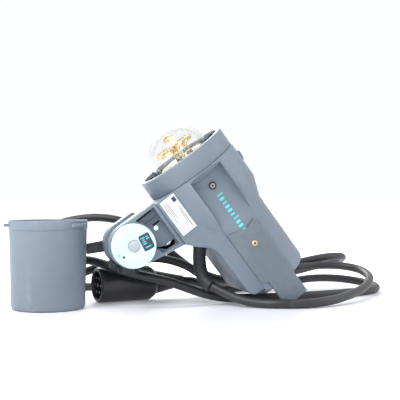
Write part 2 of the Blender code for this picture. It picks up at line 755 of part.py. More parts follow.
# ---------------------------------------------------------------- cooling and electrics

FAN_START = 117 * MM
FAN_DEPTH = 20 * MM
FAN_HEIGHT = -8 * MM                # the fan's centre above the axis
FAN_BLADES = 7


def fan_frame(head):
    half = 27 * MM
    frame = place("fan_frame", moved(block((FAN_START, -half, -half),
                                           (FAN_START + FAN_DEPTH, half, half)), 0, 0, FAN_HEIGHT),
                  black_plastic(), head)
    cut(frame, moved(rod(FAN_START - 1 * MM, FAN_START + FAN_DEPTH - 3 * MM, 25 * MM, 32),
                     0, 0, FAN_HEIGHT))
    cut(frame, moved(tube(FAN_START + FAN_DEPTH - 5 * MM, FAN_START + FAN_DEPTH + 1 * MM,
                          13 * MM, 22 * MM, 24), 0, 0, FAN_HEIGHT))
    back = FAN_START + FAN_DEPTH
    for y, z in ((1.5 * MM, 24 * MM), (24 * MM, 1.5 * MM)):
        join(frame, block((back - 2.5 * MM, -y, FAN_HEIGHT - z), (back - 0.5 * MM, y, FAN_HEIGHT + z)))
    return frame


def fan_rotor(spindle):
    """Hub with blades; its axis is its origin."""
    start = FAN_START + 2 * MM
    rotor = place("fan_rotor", rod(start, start + 12 * MM, 11 * MM, 21), black_plastic(), spindle)
    blades = bmesh.new()
    for index in range(FAN_BLADES):
        blade = block((start + 1 * MM, -0.8 * MM, 8 * MM), (start + 11 * MM, 0.8 * MM, 23.5 * MM))
        turned(blade, Matrix.Rotation(math.radians(35), 4, "Z"))
        shift = Vector((start + 6 * MM, 0, 0))
        lean = Matrix.Rotation(math.radians(35), 4, "Z") @ shift
        moved(blade, shift.x - lean.x, -lean.y, 0)
        turned(blade, Matrix.Rotation(math.tau * index / FAN_BLADES, 4, "X"))
        part = bpy.data.meshes.new("blade")
        blade.to_mesh(part)
        blade.free()
        blades.from_mesh(part)
        bpy.data.meshes.remove(part)
    return join(rotor, blades)


def focus_knob(frame):
    """Knob behind the rear panel; the lead screw's axis is its origin."""
    start = REAR_FACE + GAP
    profile = [(start, 0), (start, 9 * MM), (start + 11 * MM, 9 * MM), (start + 12 * MM, 8 * MM),
               (start + 12 * MM, 0)]
    return place("focus_knob", lathe(profile, 20), black_plastic(), frame)


def lead_screw(frame):
    return place("lead_screw", rod(40 * MM, REAR_FACE - GAP, 2.6 * MM, 12), steel(), frame)


REAR_FACE = HEAD_LENGTH - 8 * MM - GAP      # outer face of the rear panel
PANEL_THICKNESS = 3 * MM
ROCKER_PLACES = ((-24 * MM, 2 * MM), (-10 * MM, 2 * MM))
ROCKER_HALF_HEIGHT = 8.5 * MM
ROCKER_HALF_WIDTH = 5 * MM
READY_LIGHT_PLACE = (-17 * MM, -15 * MM)
VENT_SLOTS = 5


def rear_panel(head):
    wall = NECK_RADIUS - SHELL_WALL - GAP
    low = REAR_FACE - PANEL_THICKNESS
    outline = round_plate(wall, FLAT_HALF_WIDTH - SHELL_WALL - GAP, -FLAT_HALF_HEIGHT + GAP)
    panel = place("rear_panel", plate_across(outline, low, REAR_FACE), black_plastic(), head)
    for y, z in ROCKER_PLACES:
        cut(panel, block((low - 1 * MM, y - ROCKER_HALF_WIDTH - GAP, z - ROCKER_HALF_HEIGHT - 1 * MM),
                         (REAR_FACE + 1 * MM, y + ROCKER_HALF_WIDTH + GAP,
                          z + ROCKER_HALF_HEIGHT + 1 * MM)))
    for index in range(VENT_SLOTS):
        z = -14 * MM + index * 6 * MM
        cut(panel, block((low - 1 * MM, 6 * MM, z), (REAR_FACE + 1 * MM, 34 * MM, z + 2.5 * MM)))
    cut(panel, moved(rod(low - 1 * MM, REAR_FACE + 1 * MM, 2.6 * MM + GAP, 12), 0, 0, SCREW_HEIGHT))
    y, z = READY_LIGHT_PLACE
    cut(panel, moved(rod(low - 1 * MM, REAR_FACE + 1 * MM, 2.5 * MM + GAP, 12), 0, y, z))
    return panel


ROCKER_TILT = math.radians(7)


def rocker(pivot, name):
    """Rocker switch, pressed at its lower end at rest; its pivot is its origin."""
    high = ROCKER_HALF_HEIGHT
    outline = [(-2.5 * MM, -high), (3.2 * MM, -high), (1.8 * MM, 0), (3.2 * MM, high),
               (-2.5 * MM, high)]
    mesh = prism(outline, -ROCKER_HALF_WIDTH, ROCKER_HALF_WIDTH)
    turned(mesh, Matrix.Rotation(-ROCKER_TILT, 4, "Y"))
    return place(name, mesh, black_plastic(), pivot)


def ready_light(head):
    y, z = READY_LIGHT_PLACE
    profile = [(REAR_FACE - 6 * MM, 0), (REAR_FACE - 6 * MM, 2.5 * MM), (REAR_FACE + 1 * MM, 2.5 * MM),
               (REAR_FACE + 2.5 * MM, 0)]
    return place("ready_light", moved(lathe(profile, 12), 0, y, z), mint_plastic(), head)


def ignition_transformer(head):
    mesh = block((150 * MM, -22 * MM, -36 * MM), (180 * MM, 22 * MM, -6 * MM))
    return place("ignition_transformer", mesh, black_plastic(), head)


def control_board(head):
    mesh = block((142 * MM, -30 * MM, 14 * MM), (190 * MM, 30 * MM, 15.6 * MM))
    return place("control_board", mesh, board_green(), head)


LEAD_HEIGHT = -43 * MM
TERMINAL_REAR = 91.3 * MM


def terminal_block(head):
    mesh = block((76 * MM, -14 * MM, -52 * MM), (TERMINAL_REAR, 14 * MM, -35 * MM))
    return place("terminal_block", mesh, ceramic(), head)


def inner_lead(head):
    points = [(107 * MM, 0, -46.8 * MM), (104.8 * MM, 0, -45.1 * MM), (102.6 * MM, 0, -43.7 * MM),
              (100 * MM, 0, LEAD_HEIGHT), (TERMINAL_REAR + GAP, 0, LEAD_HEIGHT)]
    return place("inner_lead", sweep(points, [3.5 * MM] * len(points), 10), cable_rubber(), head)


def cable_clamp(head):
    clamp = place("cable_clamp", block((93.5 * MM, -9 * MM, LEAD_HEIGHT - 6 * MM),
                                       (99 * MM, 9 * MM, LEAD_HEIGHT + 6 * MM)),
                  steel(), head)
    return cut(clamp, moved(rod(92 * MM, 101 * MM, 3.5 * MM + GAP, 12), 0, 0, LEAD_HEIGHT))


# ---------------------------------------------------------------- protective cap

def protective_cap(frame):
    """Cup with bayonet lugs; the middle of its base is its origin."""
    rim = CAP_HEIGHT - CAP_RIM_HEIGHT
    inner = CAP_RADIUS - CAP_WALL
    profile = [(0, 0), (0, CAP_BASE_RADIUS - 4 * MM), (1.2 * MM, CAP_BASE_RADIUS - 1.2 * MM),
               (4 * MM, CAP_BASE_RADIUS), (rim, CAP_RADIUS - 0.8 * MM), (rim, CAP_RADIUS),
               (CAP_HEIGHT, CAP_RADIUS), (CAP_HEIGHT, inner),
               (CAP_WALL + 3 * MM, CAP_BASE_RADIUS - CAP_WALL),
               (CAP_WALL, CAP_BASE_RADIUS - CAP_WALL - 3 * MM), (CAP_WALL, 0)]
    cap = place("protective_cap", along_z(lathe(profile, 40)), housing_plastic(), frame)
    for middle in LUG_ANGLES:
        outline = lug_outline(middle)
        join(cap, slab(outline, CAP_HEIGHT - 8 * MM, CAP_HEIGHT - 4 * MM))
    return cap


LUG_ANGLES = (173, 313, 53)         # degrees around the cap from +X
LUG_HALF_ANGLE = 13


def lug_outline(middle):
    outer = arc(0, 0, LUG_REACH, middle - LUG_HALF_ANGLE, middle + LUG_HALF_ANGLE, 4)
    inner = arc(0, 0, CAP_RADIUS - 1.2 * MM, middle + LUG_HALF_ANGLE, middle - LUG_HALF_ANGLE, 4)
    return outer + inner


# ---------------------------------------------------------------- cable and plug

BOOT_X = 27 * MM
BOOT_PATH = (                       # (x, y, z, radius) in millimetres, from inside to its end
    (27, 0, 85, 9), (27, 0, 83.6, 9), (27, 0, 83.6, 6.6), (27, 0, 74.3, 6.6), (27, 0, 74.3, 9),
    (27, 0, 62, 8.5), (27.2, -0.6, 51, 8.1), (28.4, -3, 41, 7.9), (31.5, -7.5, 32.5, 7.9),
    (35, -10.8, 28.8, 8), (35, -10.8, 28.8, 9.8), (38.9, -13.9, 26.7, 9.8))


def cable_boot(ground):
    points = [Vector(row[:3]) * MM for row in BOOT_PATH]
    radii = [row[3] * MM for row in BOOT_PATH]
    return place("cable_boot", sweep(points, radii, 16), black_rubber(), ground)


def boot_hole_cutter(head_matrix):
    hole = along_z(rod(70 * MM, 92 * MM, 6.6 * MM + GAP, 16))
    moved(hole, BOOT_X, 0, 0)
    return turned(hole, head_matrix.inverted())


def plug_frame(ground):
    return empty("plug_axis", PLUG_NOSE, ground, (0, 0, PLUG_AIM))


def plug_body(plug):
    profile = [(0, 19.5 * MM), (0, PLUG_RADIUS - 2 * MM), (2 * MM, PLUG_RADIUS),
               (PLUG_LENGTH - 8 * MM, PLUG_RADIUS), (PLUG_LENGTH, PLUG_RADIUS - 5 * MM),
               (PLUG_LENGTH, 10 * MM), (PLUG_LENGTH - 6 * MM, 10 * MM), (PLUG_LENGTH - 12 * MM, 19.5 * MM)]
    return place("plug_body", lathe(profile, 32), black_plastic(), plug)


PIN_COUNT = 6


def plug_insert(plug):
    """Insulator disc with its contact pins, set back inside the plug's mouth."""
    insert = place("plug_insert", rod(9 * MM, 24 * MM, 19.5 * MM - GAP, 24), black_plastic(), plug)
    for index in range(PIN_COUNT):
        angle = math.tau * index / PIN_COUNT
        y, z = 11 * MM * math.cos(angle), 11 * MM * math.sin(angle)
        join(insert, moved(rod(2 * MM, 10 * MM, 2 * MM, 8), 0, y, z))
    return join(insert, rod(2 * MM, 10 * MM, 2.5 * MM, 8))


def plug_tail(plug):
    start = PLUG_LENGTH + GAP
    end = PLUG_LENGTH + PLUG_TAIL_LENGTH
    profile = [(start, 0), (start, 17 * MM), (start + 10 * MM, 15 * MM), (end - 4 * MM, 8.2 * MM),
               (end, 8 * MM), (end, 0)]
    return place("plug_tail", lathe(profile, 20), black_rubber(), plug)


# Middle line of the lamp cable from the boot's end to the plug's tail, in ground millimetres
CABLE_ROUTE = (
    (39.9, -14.7, 26.1), (53, -24.6, 18.8), (70, -37, 10.6), (92, -51, 6.4), (120, -66, 6.3),
    (152, -71, 6.3), (190, -60, 7.5), (227, -36, 10.5), (260, -8, 14.5), (289, 26, 20.5),
    (304, 57, 27), (303, 86, 33.5), (285, 107, 37.5), (254, 116, 38.5), (220, 114, 36.5), (186, 106, 33), (146, 91, 28),
    (106, 74, 25), (72, 62, 27), (42, 60, 38), (15, 64, 51), (-12, 69, 57.5), (-42, 74, 57),
    (-72, 80, 52), (-98, 89, 45), (-126, 97, 34), (-155, 101, 21), (-181, 110.5, 11),
    (-200, 130, 6.8), (-205, 158, 6.2), (-190, 185, 6.2), (-158, 198, 6.2), (-115, 201, 6.2), (-40, 203, 6.2),
    (40, 209, 6.2), (120, 217, 6.2), (190, 223, 8.5), (240, 224, 17), (280, 215, 27),
    (305, 195, 36), (313, 169, 44), (300, 145, 49.5), (268, 131, 50), (216, 128, 41.5), (170, 125, 31),
    (130, 114, 24), (96, 99, 20.5), (70, 86, 24.5), (49, 80, 33), (28, 81, 47), (6, 86, 65),
    (-16, 93, 84), (-38, 100, 100), (-65, 108, 111), (-96, 118, 115), (-122, 125, 112.5),
    (-145, 128.5, 107), (-163, 126, 98), (-175, 117, 87), (-180, 104.5, 75.5), (-177, 92, 65),
    (-167, 81, 57.5), (-150, 75, 54.5), (-133, 68.5, 56.5), (-114, 57, 58), (-87, 39, 50.5),
    (-67, 30.5, 43.5), (-49, 24, 39),
    (-13, 14, 30.5), (15, 7.5, 20.5), (38, 4.5, 12.8), (66, 3, 7.5), (100, 2, 6.3),
    (140, 2.5, 6.2), (182, 7, 6.2), (232, 18, 6.2), (278, 33, 6.2), (309, 52, 6.2),
    (327, 77, 6.8), (329, 104, 9), (313, 127, 12.5), (284, 139, 15.5), (250, 141, 16), (214, 136, 13),
    (170, 132, 8.5), (128, 126, 6.4), (92, 117, 7), (62, 100, 14.5), (40, 89, 22),
    (24.4, 83.8, 24))
CABLE_POINTS = 80


def smooth_points(route, steps):
    """Points on a centripetal Catmull-Rom curve through the route, with their distances."""
    knots = [Vector(point) * MM for point in route]
    gaps = [(b - a).length ** 0.5 for a, b in zip(knots, knots[1:])]
    slopes = []
    for index in range(len(knots)):
        if index in (0, len(knots) - 1):
            at = max(index - 1, 0)
            slopes.append((knots[at + 1] - knots[at]) / gaps[at])
            continue
        before, after = gaps[index - 1], gaps[index]
        slopes.append((knots[index] - knots[index - 1]) / before
                      - (knots[index + 1] - knots[index - 1]) / (before + after)
                      + (knots[index + 1] - knots[index]) / after)
    points = []
    for index, gap in enumerate(gaps):
        for step in range(steps):
            t = step / steps
            points.append((2 * t ** 3 - 3 * t * t + 1) * knots[index]
                          + (t ** 3 - 2 * t * t + t) * slopes[index] * gap
                          + (-2 * t ** 3 + 3 * t * t) * knots[index + 1]
                          + (t ** 3 - t * t) * slopes[index + 1] * gap)
    points.append(knots[-1])
    return points


def evenly(points, count):
    """Read count points at equal distances along a line of points."""
    travelled = [0.0]
    for a, b in zip(points, points[1:]):
        travelled.append(travelled[-1] + (b - a).length)
    chosen = []
    at = 0
    for index in range(count):
        goal = travelled[-1] * index / (count - 1)
        while at < len(points) - 2 and travelled[at + 1] < goal:
            at += 1
        span = travelled[at + 1] - travelled[at]
        chosen.append(points[at].lerp(points[at + 1], (goal - travelled[at]) / span))
    return chosen


def lamp_cable(ground):
    line = bpy.data.curves.new("lamp_cable", "CURVE")
    line.dimensions = "3D"
    line.bevel_depth = CABLE_RADIUS
    line.bevel_resolution = 2
    line.use_fill_caps = True
    spline = line.splines.new("POLY")
    points = evenly(smooth_points(CABLE_ROUTE, 12), CABLE_POINTS)
    spline.points.add(len(points) - 1)
    for knot, point in zip(spline.points, points):
        knot.co = (*point, 1)
    cable = bpy.data.objects.new("lamp_cable", line)
    bpy.context.scene.collection.objects.link(cable)
    line.materials.append(cable_rubber())
    cable.parent = ground
    return cable


# ---------------------------------------------------------------- whole object

def build_head(ground):
    ring_height = TAIL_END * math.sin(HEAD_TILT) - TAIL_LOW * math.cos(HEAD_TILT)
    head = empty("head_axis", (0, 0, ring_height), ground, (0, HEAD_TILT, 0))
    head_matrix = Matrix.Translation((0, 0, ring_height)) @ Matrix.Rotation(HEAD_TILT, 4, "Y")
    front_ring(head)
    upper_housing(head)
    lower_housing(head, boot_hole_cutter(head_matrix))
    side_plate(head, "near_side_plate", -1)
    side_plate(head, "far_side_plate", 1)
    all_side_screws(head)
    type_label(head)
    slide = empty("release_slide_axis", (SLIDE_START, 0, 0), head)
    release_slide(slide)
    release_spring(head)
    bracket_arm(head)
    dome_retainer(head)
    bulkhead(head)
    guide_rod(head, "near_guide_rod", -1)
    guide_rod(head, "far_guide_rod", 1)
    fan_frame(head)
    fan_rotor(empty("fan_axis", (0, 0, FAN_HEIGHT), head))
    screw_axis = empty("lead_screw_axis", (0, 0, SCREW_HEIGHT), head)
    lead_screw(screw_axis)
    focus_knob(screw_axis)
    rear_panel(head)
    for (y, z), name in zip(ROCKER_PLACES, ("lamp_rocker", "fan_rocker")):
        pivot = empty(name + "_axis", (REAR_FACE - PANEL_THICKNESS / 2, y, z), head)
        rocker(pivot, name)
    ready_light(head)
    ignition_transformer(head)
    control_board(head)
    terminal_block(head)
    inner_lead(head)
    cable_clamp(head)
    return head, ring_height


def build_light_unit(head):
    carriage = empty("focus_carriage_axis", (0, 0, 0), head)
    carriage_plate(carriage)
    lamp_socket(carriage)
    tube_base(carriage)
    reflector_plate(carriage)
    flash_tube(carriage)
    tube_electrode(carriage, "lower_electrode", ELECTRODE_ANGLES[0])
    tube_electrode(carriage, "upper_electrode", ELECTRODE_ANGLES[1])
    modelling_lamp(carriage)
    glass_dome(empty("dome_axis", (0, 0, 0), carriage))


def build_stand_mount(ground, ring_height):
    axis = head_point(TILT_ALONG, TILT_BELOW, ring_height)
    tilt = empty("tilt_axis", axis, ground)
    stand_socket(tilt)
    lock_screw(empty("lock_screw_axis", (0, 0, -LOCK_DEPTH), tilt))
    washer(tilt, "near_washer", -1)
    washer(tilt, "far_washer", 1)
    tilt_bolt(tilt)
    clamp_lever(tilt)
    lever_nut(tilt)
    tilt_disc(tilt)
    disc_button(tilt)


def build_cable(ground):
    cable_boot(ground)
    lamp_cable(ground)
    plug = plug_frame(ground)
    plug_body(plug)
    plug_insert(plug)
    plug_tail(plug)


def main():
    clear_scene()
    ground = empty("ground", (GROUND_X, GROUND_Y, 0))
    head, ring_height = build_head(ground)
    build_light_unit(head)
    build_stand_mount(ground, ring_height)
    protective_cap(empty("cap_axis", (CAP_X, CAP_Y, 0), ground))
    build_cable(ground)


main()
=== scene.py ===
import json
import math

import bmesh
import bpy
import numpy as np
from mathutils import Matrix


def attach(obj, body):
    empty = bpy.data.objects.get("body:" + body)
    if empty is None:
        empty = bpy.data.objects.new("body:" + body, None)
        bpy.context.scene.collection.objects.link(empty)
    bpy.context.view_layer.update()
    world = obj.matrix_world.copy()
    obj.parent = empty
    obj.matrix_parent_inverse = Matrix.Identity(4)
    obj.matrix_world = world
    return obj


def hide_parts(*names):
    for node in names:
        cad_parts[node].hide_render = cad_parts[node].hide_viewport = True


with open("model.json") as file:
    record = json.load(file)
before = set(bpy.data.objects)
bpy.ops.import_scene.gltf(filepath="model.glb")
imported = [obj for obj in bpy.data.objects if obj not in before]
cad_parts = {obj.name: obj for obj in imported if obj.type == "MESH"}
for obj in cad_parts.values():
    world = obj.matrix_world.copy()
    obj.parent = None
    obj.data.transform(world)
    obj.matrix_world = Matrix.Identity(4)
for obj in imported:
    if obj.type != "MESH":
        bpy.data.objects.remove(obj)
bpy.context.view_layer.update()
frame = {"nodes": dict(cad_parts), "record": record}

print("frame loaded:", len(frame["nodes"]), "nodes")
mm = 0.001
headPose = {"tilt": 53,                # degrees that the nose points up and back
            "foot": (238, 15),         # mm along the head and below its axis to the tail's foot on the table
            "shift": (30.1, -2.8, 0)}  # mm from the table's frame to the part's
headTilt = math.radians(headPose["tilt"])
headRise = (headPose["foot"][0] * math.sin(headTilt) + headPose["foot"][1] * math.cos(headTilt)) * mm
originShift = np.array(headPose["shift"]) * mm
noseToTail = np.array([math.cos(headTilt), 0, -math.sin(headTilt)])
upFromAxis = np.array([math.sin(headTilt), 0, math.cos(headTilt)])


# Head measures in mm to metres: u times the nose-to-tail vector plus w sideways plus v times the
# vector square to the axis, lifted and shifted; each is a number or an array.
def headPlace(u, w, v):
    u, w, v = np.broadcast_arrays(np.asarray(u, float), np.asarray(w, float), np.asarray(v, float))
    place = u[..., None] * noseToTail + w[..., None] * np.array([0, 1, 0]) + v[..., None] * upFromAxis
    return place * mm + np.array([0, 0, headRise]) + originShift


view = {"place": (-0.2144, -1.0181, 0.140), "turn": 15, "lens": 70.65, "sensor": 36}
camera = bpy.data.cameras.new("camera")
camera.lens, camera.sensor_width = view["lens"], view["sensor"]
camera.clip_start = 0.02
cameraObject = bpy.data.objects.new("camera", camera)
cameraObject.location = view["place"]
cameraObject.rotation_euler = (math.radians(90), 0, -math.radians(view["turn"]))
bpy.context.scene.collection.objects.link(cameraObject)
bpy.context.scene.camera = cameraObject

light = {"sky": (0.97, 0.98, 1.0), "skyStrength": 1.02, "aim": (0, 0, 0.1),
         # name, place, width, power and colour of each lamp
         "lamps": [("keySoft", (-1.0, -0.7, 1.2), 0.8, 21, (1, 0.99, 0.97)),
                   ("backSoft", (-0.1, 1.3, 1.1), 1.3, 26, (1, 1, 1)),
                   ("sideSoft", (1.2, -0.3, 0.7), 0.6, 2, (0.92, 0.96, 1))]}


# A round soft lamp whose face looks at the aim point.
def softLamp(name, place, size, power, colour):
    lamp = bpy.data.lights.new(name, "AREA")
    lamp.shape, lamp.size, lamp.energy, lamp.color = "DISK", size, power, colour
    lampObject = bpy.data.objects.new(name, lamp)
    lampObject.location = place
    aim = np.array(light["aim"]) - np.array(place)
    flat = math.hypot(aim[0], aim[1])
    lampObject.rotation_euler = (math.atan2(flat, -aim[2]), 0, math.atan2(-aim[0], aim[1]))
    bpy.context.scene.collection.objects.link(lampObject)


for lampFacts in light["lamps"]:
    softLamp(*lampFacts)
world = bpy.data.worlds.new("studio")
world.use_nodes = True
world.node_tree.nodes["Background"].inputs["Color"].default_value = (*light["sky"], 1)
world.node_tree.nodes["Background"].inputs["Strength"].default_value = light["skyStrength"]
bpy.context.scene.world = world
bpy.context.scene.view_settings.view_transform = "Standard"
print("camera and light placed")


# One object at the origin from a mesh, with its finish, riding on a body; edges sharper than the
# angle stay crisp.
def placePiece(name, data, body, finish, crisp=38):
    data.materials.append(finish)
    data.polygons.foreach_set("use_smooth", [True] * len(data.polygons))
    if crisp:
        data.set_sharp_from_angle(angle=math.radians(crisp))
    piece = bpy.data.objects.new(name, data)
    bpy.context.scene.collection.objects.link(piece)
    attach(piece, body)
    return piece


# A piece from a point array and a face list; around is a UV that follows the surface.
def meshPiece(name, points, faces, body, finish, around=None):
    data = bpy.data.meshes.new(name)
    data.from_pydata(points.tolist(), [], faces)
    data.validate()
    if around is not None:
        layer = data.uv_layers.new(name="along")
        corners = np.empty(len(data.loops), dtype=np.int32)
        data.loops.foreach_get("vertex_index", corners)
        layer.data.foreach_set("uv", around[corners].astype(np.float32).ravel())
    return placePiece(name, data, body, finish)


# Faces turned outwards, after points nearer than the merge distance become one.
def closeMesh(data, merge=0):
    mesh = bmesh.new()
    mesh.from_mesh(data)
    if merge:
        bmesh.ops.remove_doubles(mesh, verts=mesh.verts, dist=merge)
        bmesh.ops.dissolve_degenerate(mesh, edges=mesh.edges, dist=merge / 10)
    bmesh.ops.recalc_face_normals(mesh, faces=mesh.faces)
    mesh.to_mesh(data)
    mesh.free()


# Quads of a grid: each joins point (row, column) to its three neighbours at row + 1 and column + 1,
# and a ring joins its last column to its first.
def gridFaces(rows, columns, ring=True):
    row, column = np.meshgrid(np.arange(rows - 1), np.arange(columns if ring else columns - 1),
                              indexing="ij")
    after = (column + 1) % columns
    corners = np.stack([row * columns + column, row * columns + after,
                        (row + 1) * columns + after, (row + 1) * columns + column], -1)
    return corners.reshape(-1, 4)


# The two flat ends of a stack of rings, the first facing back and the last facing on.
def ringEnds(count, sides):
    return [list(range(sides))[::-1], list(range(count - sides, count))]


# Unit vectors along a line of points.
def headingsOf(path):
    heading = np.gradient(path, axis=0)
    return heading / np.linalg.norm(heading, axis=1)[:, None]


# A ring of points round each path point: centre plus radius times the cosine of the angle along one
# side vector plus its sine along the other, the side vector carried along the path without twist.
def tubeGrid(path, radii, sides):
    heading = headingsOf(path)
    side = np.empty_like(path)
    side[0] = np.cross(heading[0], [0, 0, 1.0] if abs(heading[0][2]) < 0.9 else [0, 1.0, 0])
    side[0] /= np.linalg.norm(side[0])
    for step in range(1, len(path)):        # the last side vector, made square to the new heading
        carried = side[step - 1] - heading[step] * np.dot(side[step - 1], heading[step])
        side[step] = carried / np.linalg.norm(carried)
    other = np.cross(heading, side)
    angle = np.arange(sides) / sides * 2 * math.pi
    ring = np.cos(angle)[None, :, None] * side[:, None, :] + np.sin(angle)[None, :, None] * other[:, None, :]
    radii = np.broadcast_to(np.asarray(radii, float), (len(path),))
    return (path[:, None, :] + ring * radii[:, None, None]).reshape(-1, 3)


# A swept tube with both ends closed; its UV runs round it and along it, in metres.
def tubePiece(name, path, radii, sides, body, finish):
    points = tubeGrid(path, radii, sides)
    faces = gridFaces(len(path), sides).tolist() + ringEnds(len(points), sides)
    travelled = np.concatenate([[0], np.cumsum(np.linalg.norm(np.diff(path, axis=0), axis=1))])
    around = np.stack([np.tile(np.arange(sides) / sides, len(path)), np.repeat(travelled, sides)], -1)
    return meshPiece(name, points, faces, body, finish, around)


# Profile points, in mm from the axis and along it, turned round the axis: centre plus the height times
# the axis plus the radius times the turned side vector. The profile closes on itself.
def lathePiece(name, profile, centre, axis, sides, body, finish):
    radius, height = (np.asarray(profile, float) * mm).T[:, :, None, None]
    side = np.cross(axis, [0, 1.0, 0] if abs(axis[1]) < 0.9 else [1.0, 0, 0])
    side /= np.linalg.norm(side)
    other = np.cross(axis, side)
    angle = np.arange(sides) / sides * 2 * math.pi
    ring = np.cos(angle)[:, None] * side + np.sin(angle)[:, None] * other
    points = (centre + height * axis + radius * ring).reshape(-1, 3)
    data = bpy.data.meshes.new(name)
    data.from_pydata(points.tolist(), [], (gridFaces(len(profile) + 1, sides) % len(points)).tolist())
    closeMesh(data, 1e-7)
    return placePiece(name, data, body, finish)


# Smooth curve through the route: between each two points a cubic blend of both points and of their
# slopes, where a slope weighs the gaps to both neighbours by the square root of their lengths.
def curveThrough(route, steps):
    knots = np.asarray(route, float)
    gaps = np.linalg.norm(np.diff(knots, axis=0), axis=1) ** 0.5
    slopes = np.empty_like(knots)
    slopes[0] = (knots[1] - knots[0]) / gaps[0]
    slopes[-1] = (knots[-1] - knots[-2]) / gaps[-1]
    before, after = gaps[:-1, None], gaps[1:, None]
    slopes[1:-1] = ((knots[1:-1] - knots[:-2]) / before - (knots[2:] - knots[:-2]) / (before + after)
                    + (knots[2:] - knots[1:-1]) / after)
    t = (np.arange(steps) / steps)[None, :, None]
    a, b = knots[:-1, None], knots[1:, None]
    pull, push = slopes[:-1, None] * gaps[:, None, None], slopes[1:, None] * gaps[:, None, None]
    points = ((2 * t ** 3 - 3 * t ** 2 + 1) * a + (t ** 3 - 2 * t ** 2 + t) * pull
              + (-2 * t ** 3 + 3 * t ** 2) * b + (t ** 3 - t ** 2) * push)
    return np.concatenate([points.reshape(-1, 3), knots[-1:]])


# Points at equal distances along a line of points, and the line's length.
def evenly(points, count):
    travelled = np.concatenate([[0], np.cumsum(np.linalg.norm(np.diff(points, axis=0), axis=1))])
    goal = np.linspace(0, travelled[-1], count)
    return np.stack([np.interp(goal, travelled, points[:, k]) for k in range(3)], -1), travelled[-1]


# A socket whose sums and products add Math nodes.
class Wire:
    def __init__(self, finish, socket):
        self.finish, self.socket = finish, socket

    def fromSameNode(self, name):
        return Wire(self.finish, self.socket.node.outputs[name])

    def join(self, how, first, second):
        return self.finish.node("Math", {"operation": how}, {0: first, 1: second})

    def __add__(self, other): return self.join("ADD", self, other)
    def __radd__(self, other): return self.join("ADD", other, self)
    def __sub__(self, other): return self.join("SUBTRACT", self, other)
    def __rsub__(self, other): return self.join("SUBTRACT", other, self)
    def __mul__(self, other): return self.join("MULTIPLY", self, other)
    def __rmul__(self, other): return self.join("MULTIPLY", other, self)


# One material: node adds any node, paint sets the surface's sockets.
class Finish:
    def __init__(self, name):
        self.material = bpy.data.materials.new(name)
        self.material.use_nodes = True
        self.tree = self.material.node_tree
        self.surface = self.tree.nodes["Principled BSDF"]

    def node(self, kind, settings=None, values=None, out=0):
        made = self.tree.nodes.new("ShaderNode" + kind)
        for key, value in (settings or {}).items():
            if key == "stops":
                for place, colour in value[:-2]:
                    made.color_ramp.elements.new(place)
                for element, (place, colour) in zip(made.color_ramp.elements, sorted(value)):
                    element.position, element.color = place, (*colour, 1)
            else:
                setattr(made, key, value)
        for key, value in (values or {}).items():
            self.feed(made.inputs[key], value)
        return Wire(self, made.outputs[out])

    def feed(self, socket, value):
        if isinstance(value, Wire):
            self.tree.links.new(value.socket, socket)
        elif hasattr(value, "__len__") and socket.type == "RGBA":
            socket.default_value = (*value[:3], 1)
        else:
            socket.default_value = value

    def place(self):
        return self.node("TexCoord", out="Object")

    def noise(self, scale, detail=2, rough=0.5, where=None):
        return self.node("TexNoise", {}, {"Vector": where or self.place(), "Scale": scale,
                                          "Detail": detail, "Roughness": rough})

    def mix(self, how, first, second, blend="MIX"):
        return self.node("Mix", {"data_type": "RGBA", "blend_type": blend},
                         {0: how, 6: first, 7: second}, out=2)

    # 0 up to the low value, then rising to 1 at the high one
    def fade(self, value, low, high):
        return self.node("ValToRGB", {"stops": [(low, (0, 0, 0)), (high, (1, 1, 1))]}, {0: value})

    # bright where the surface turns sharply outwards
    def edge(self, low=0.52, high=0.6):
        point = self.node("NewGeometry", out="Pointiness")
        return self.node("MapRange", {"clamp": True}, {0: point, 1: low, 2: high, 3: 0.0, 4: 1.0})

    def bump(self, height, strength, distance):
        return self.node("Bump", {}, {"Strength": strength, "Distance": distance, "Height": height})

    def paint(self, **sockets):
        for key, value in sockets.items():
            self.feed(self.surface.inputs[key.replace("_", " ")], value)
        return self.material


# Moulded plastic: a fine grain, a slow cloudy tone from colour to light, rubbed edges and dull scuffs.
def mouldedPlastic(name, colour, light, roughness=0.42, grain=1500, depth=0.00004, wear=0.35, gloss=0.0):
    f = Finish(name)
    cloud = f.noise(9, 4, 0.6)
    grainNoise = f.noise(grain, 2, 0.6)
    tone = f.mix(f.fade(cloud, 0.32, 0.68), colour, light)
    rub = f.edge() * wear * f.fade(f.noise(130, 3, 0.7), 0.35, 0.6)
    tone = f.mix(rub, tone, [min(1, c * 1.5 + 0.05) for c in colour])
    scuff = f.fade(f.noise(60, 5, 0.75), 0.55, 0.75)
    return f.paint(Base_Color=tone, Roughness=roughness + 0.12 * scuff + 0.05 * grainNoise,
                   Normal=f.bump(grainNoise, 0.5, depth), Coat_Weight=gloss, Coat_Roughness=0.2)


# Soft rubber: a very fine grain with dust lying in slow patches.
def softRubber(name, colour, light, roughness=0.5):
    f = Finish(name)
    dust = f.fade(f.noise(45, 5, 0.7), 0.45, 0.8)
    grain = f.noise(2200, 2, 0.5)
    return f.paint(Base_Color=f.mix(dust * 0.6, colour, light), Roughness=roughness + 0.15 * dust,
                   Normal=f.bump(grain, 0.4, 0.00003), Specular_IOR_Level=0.55)


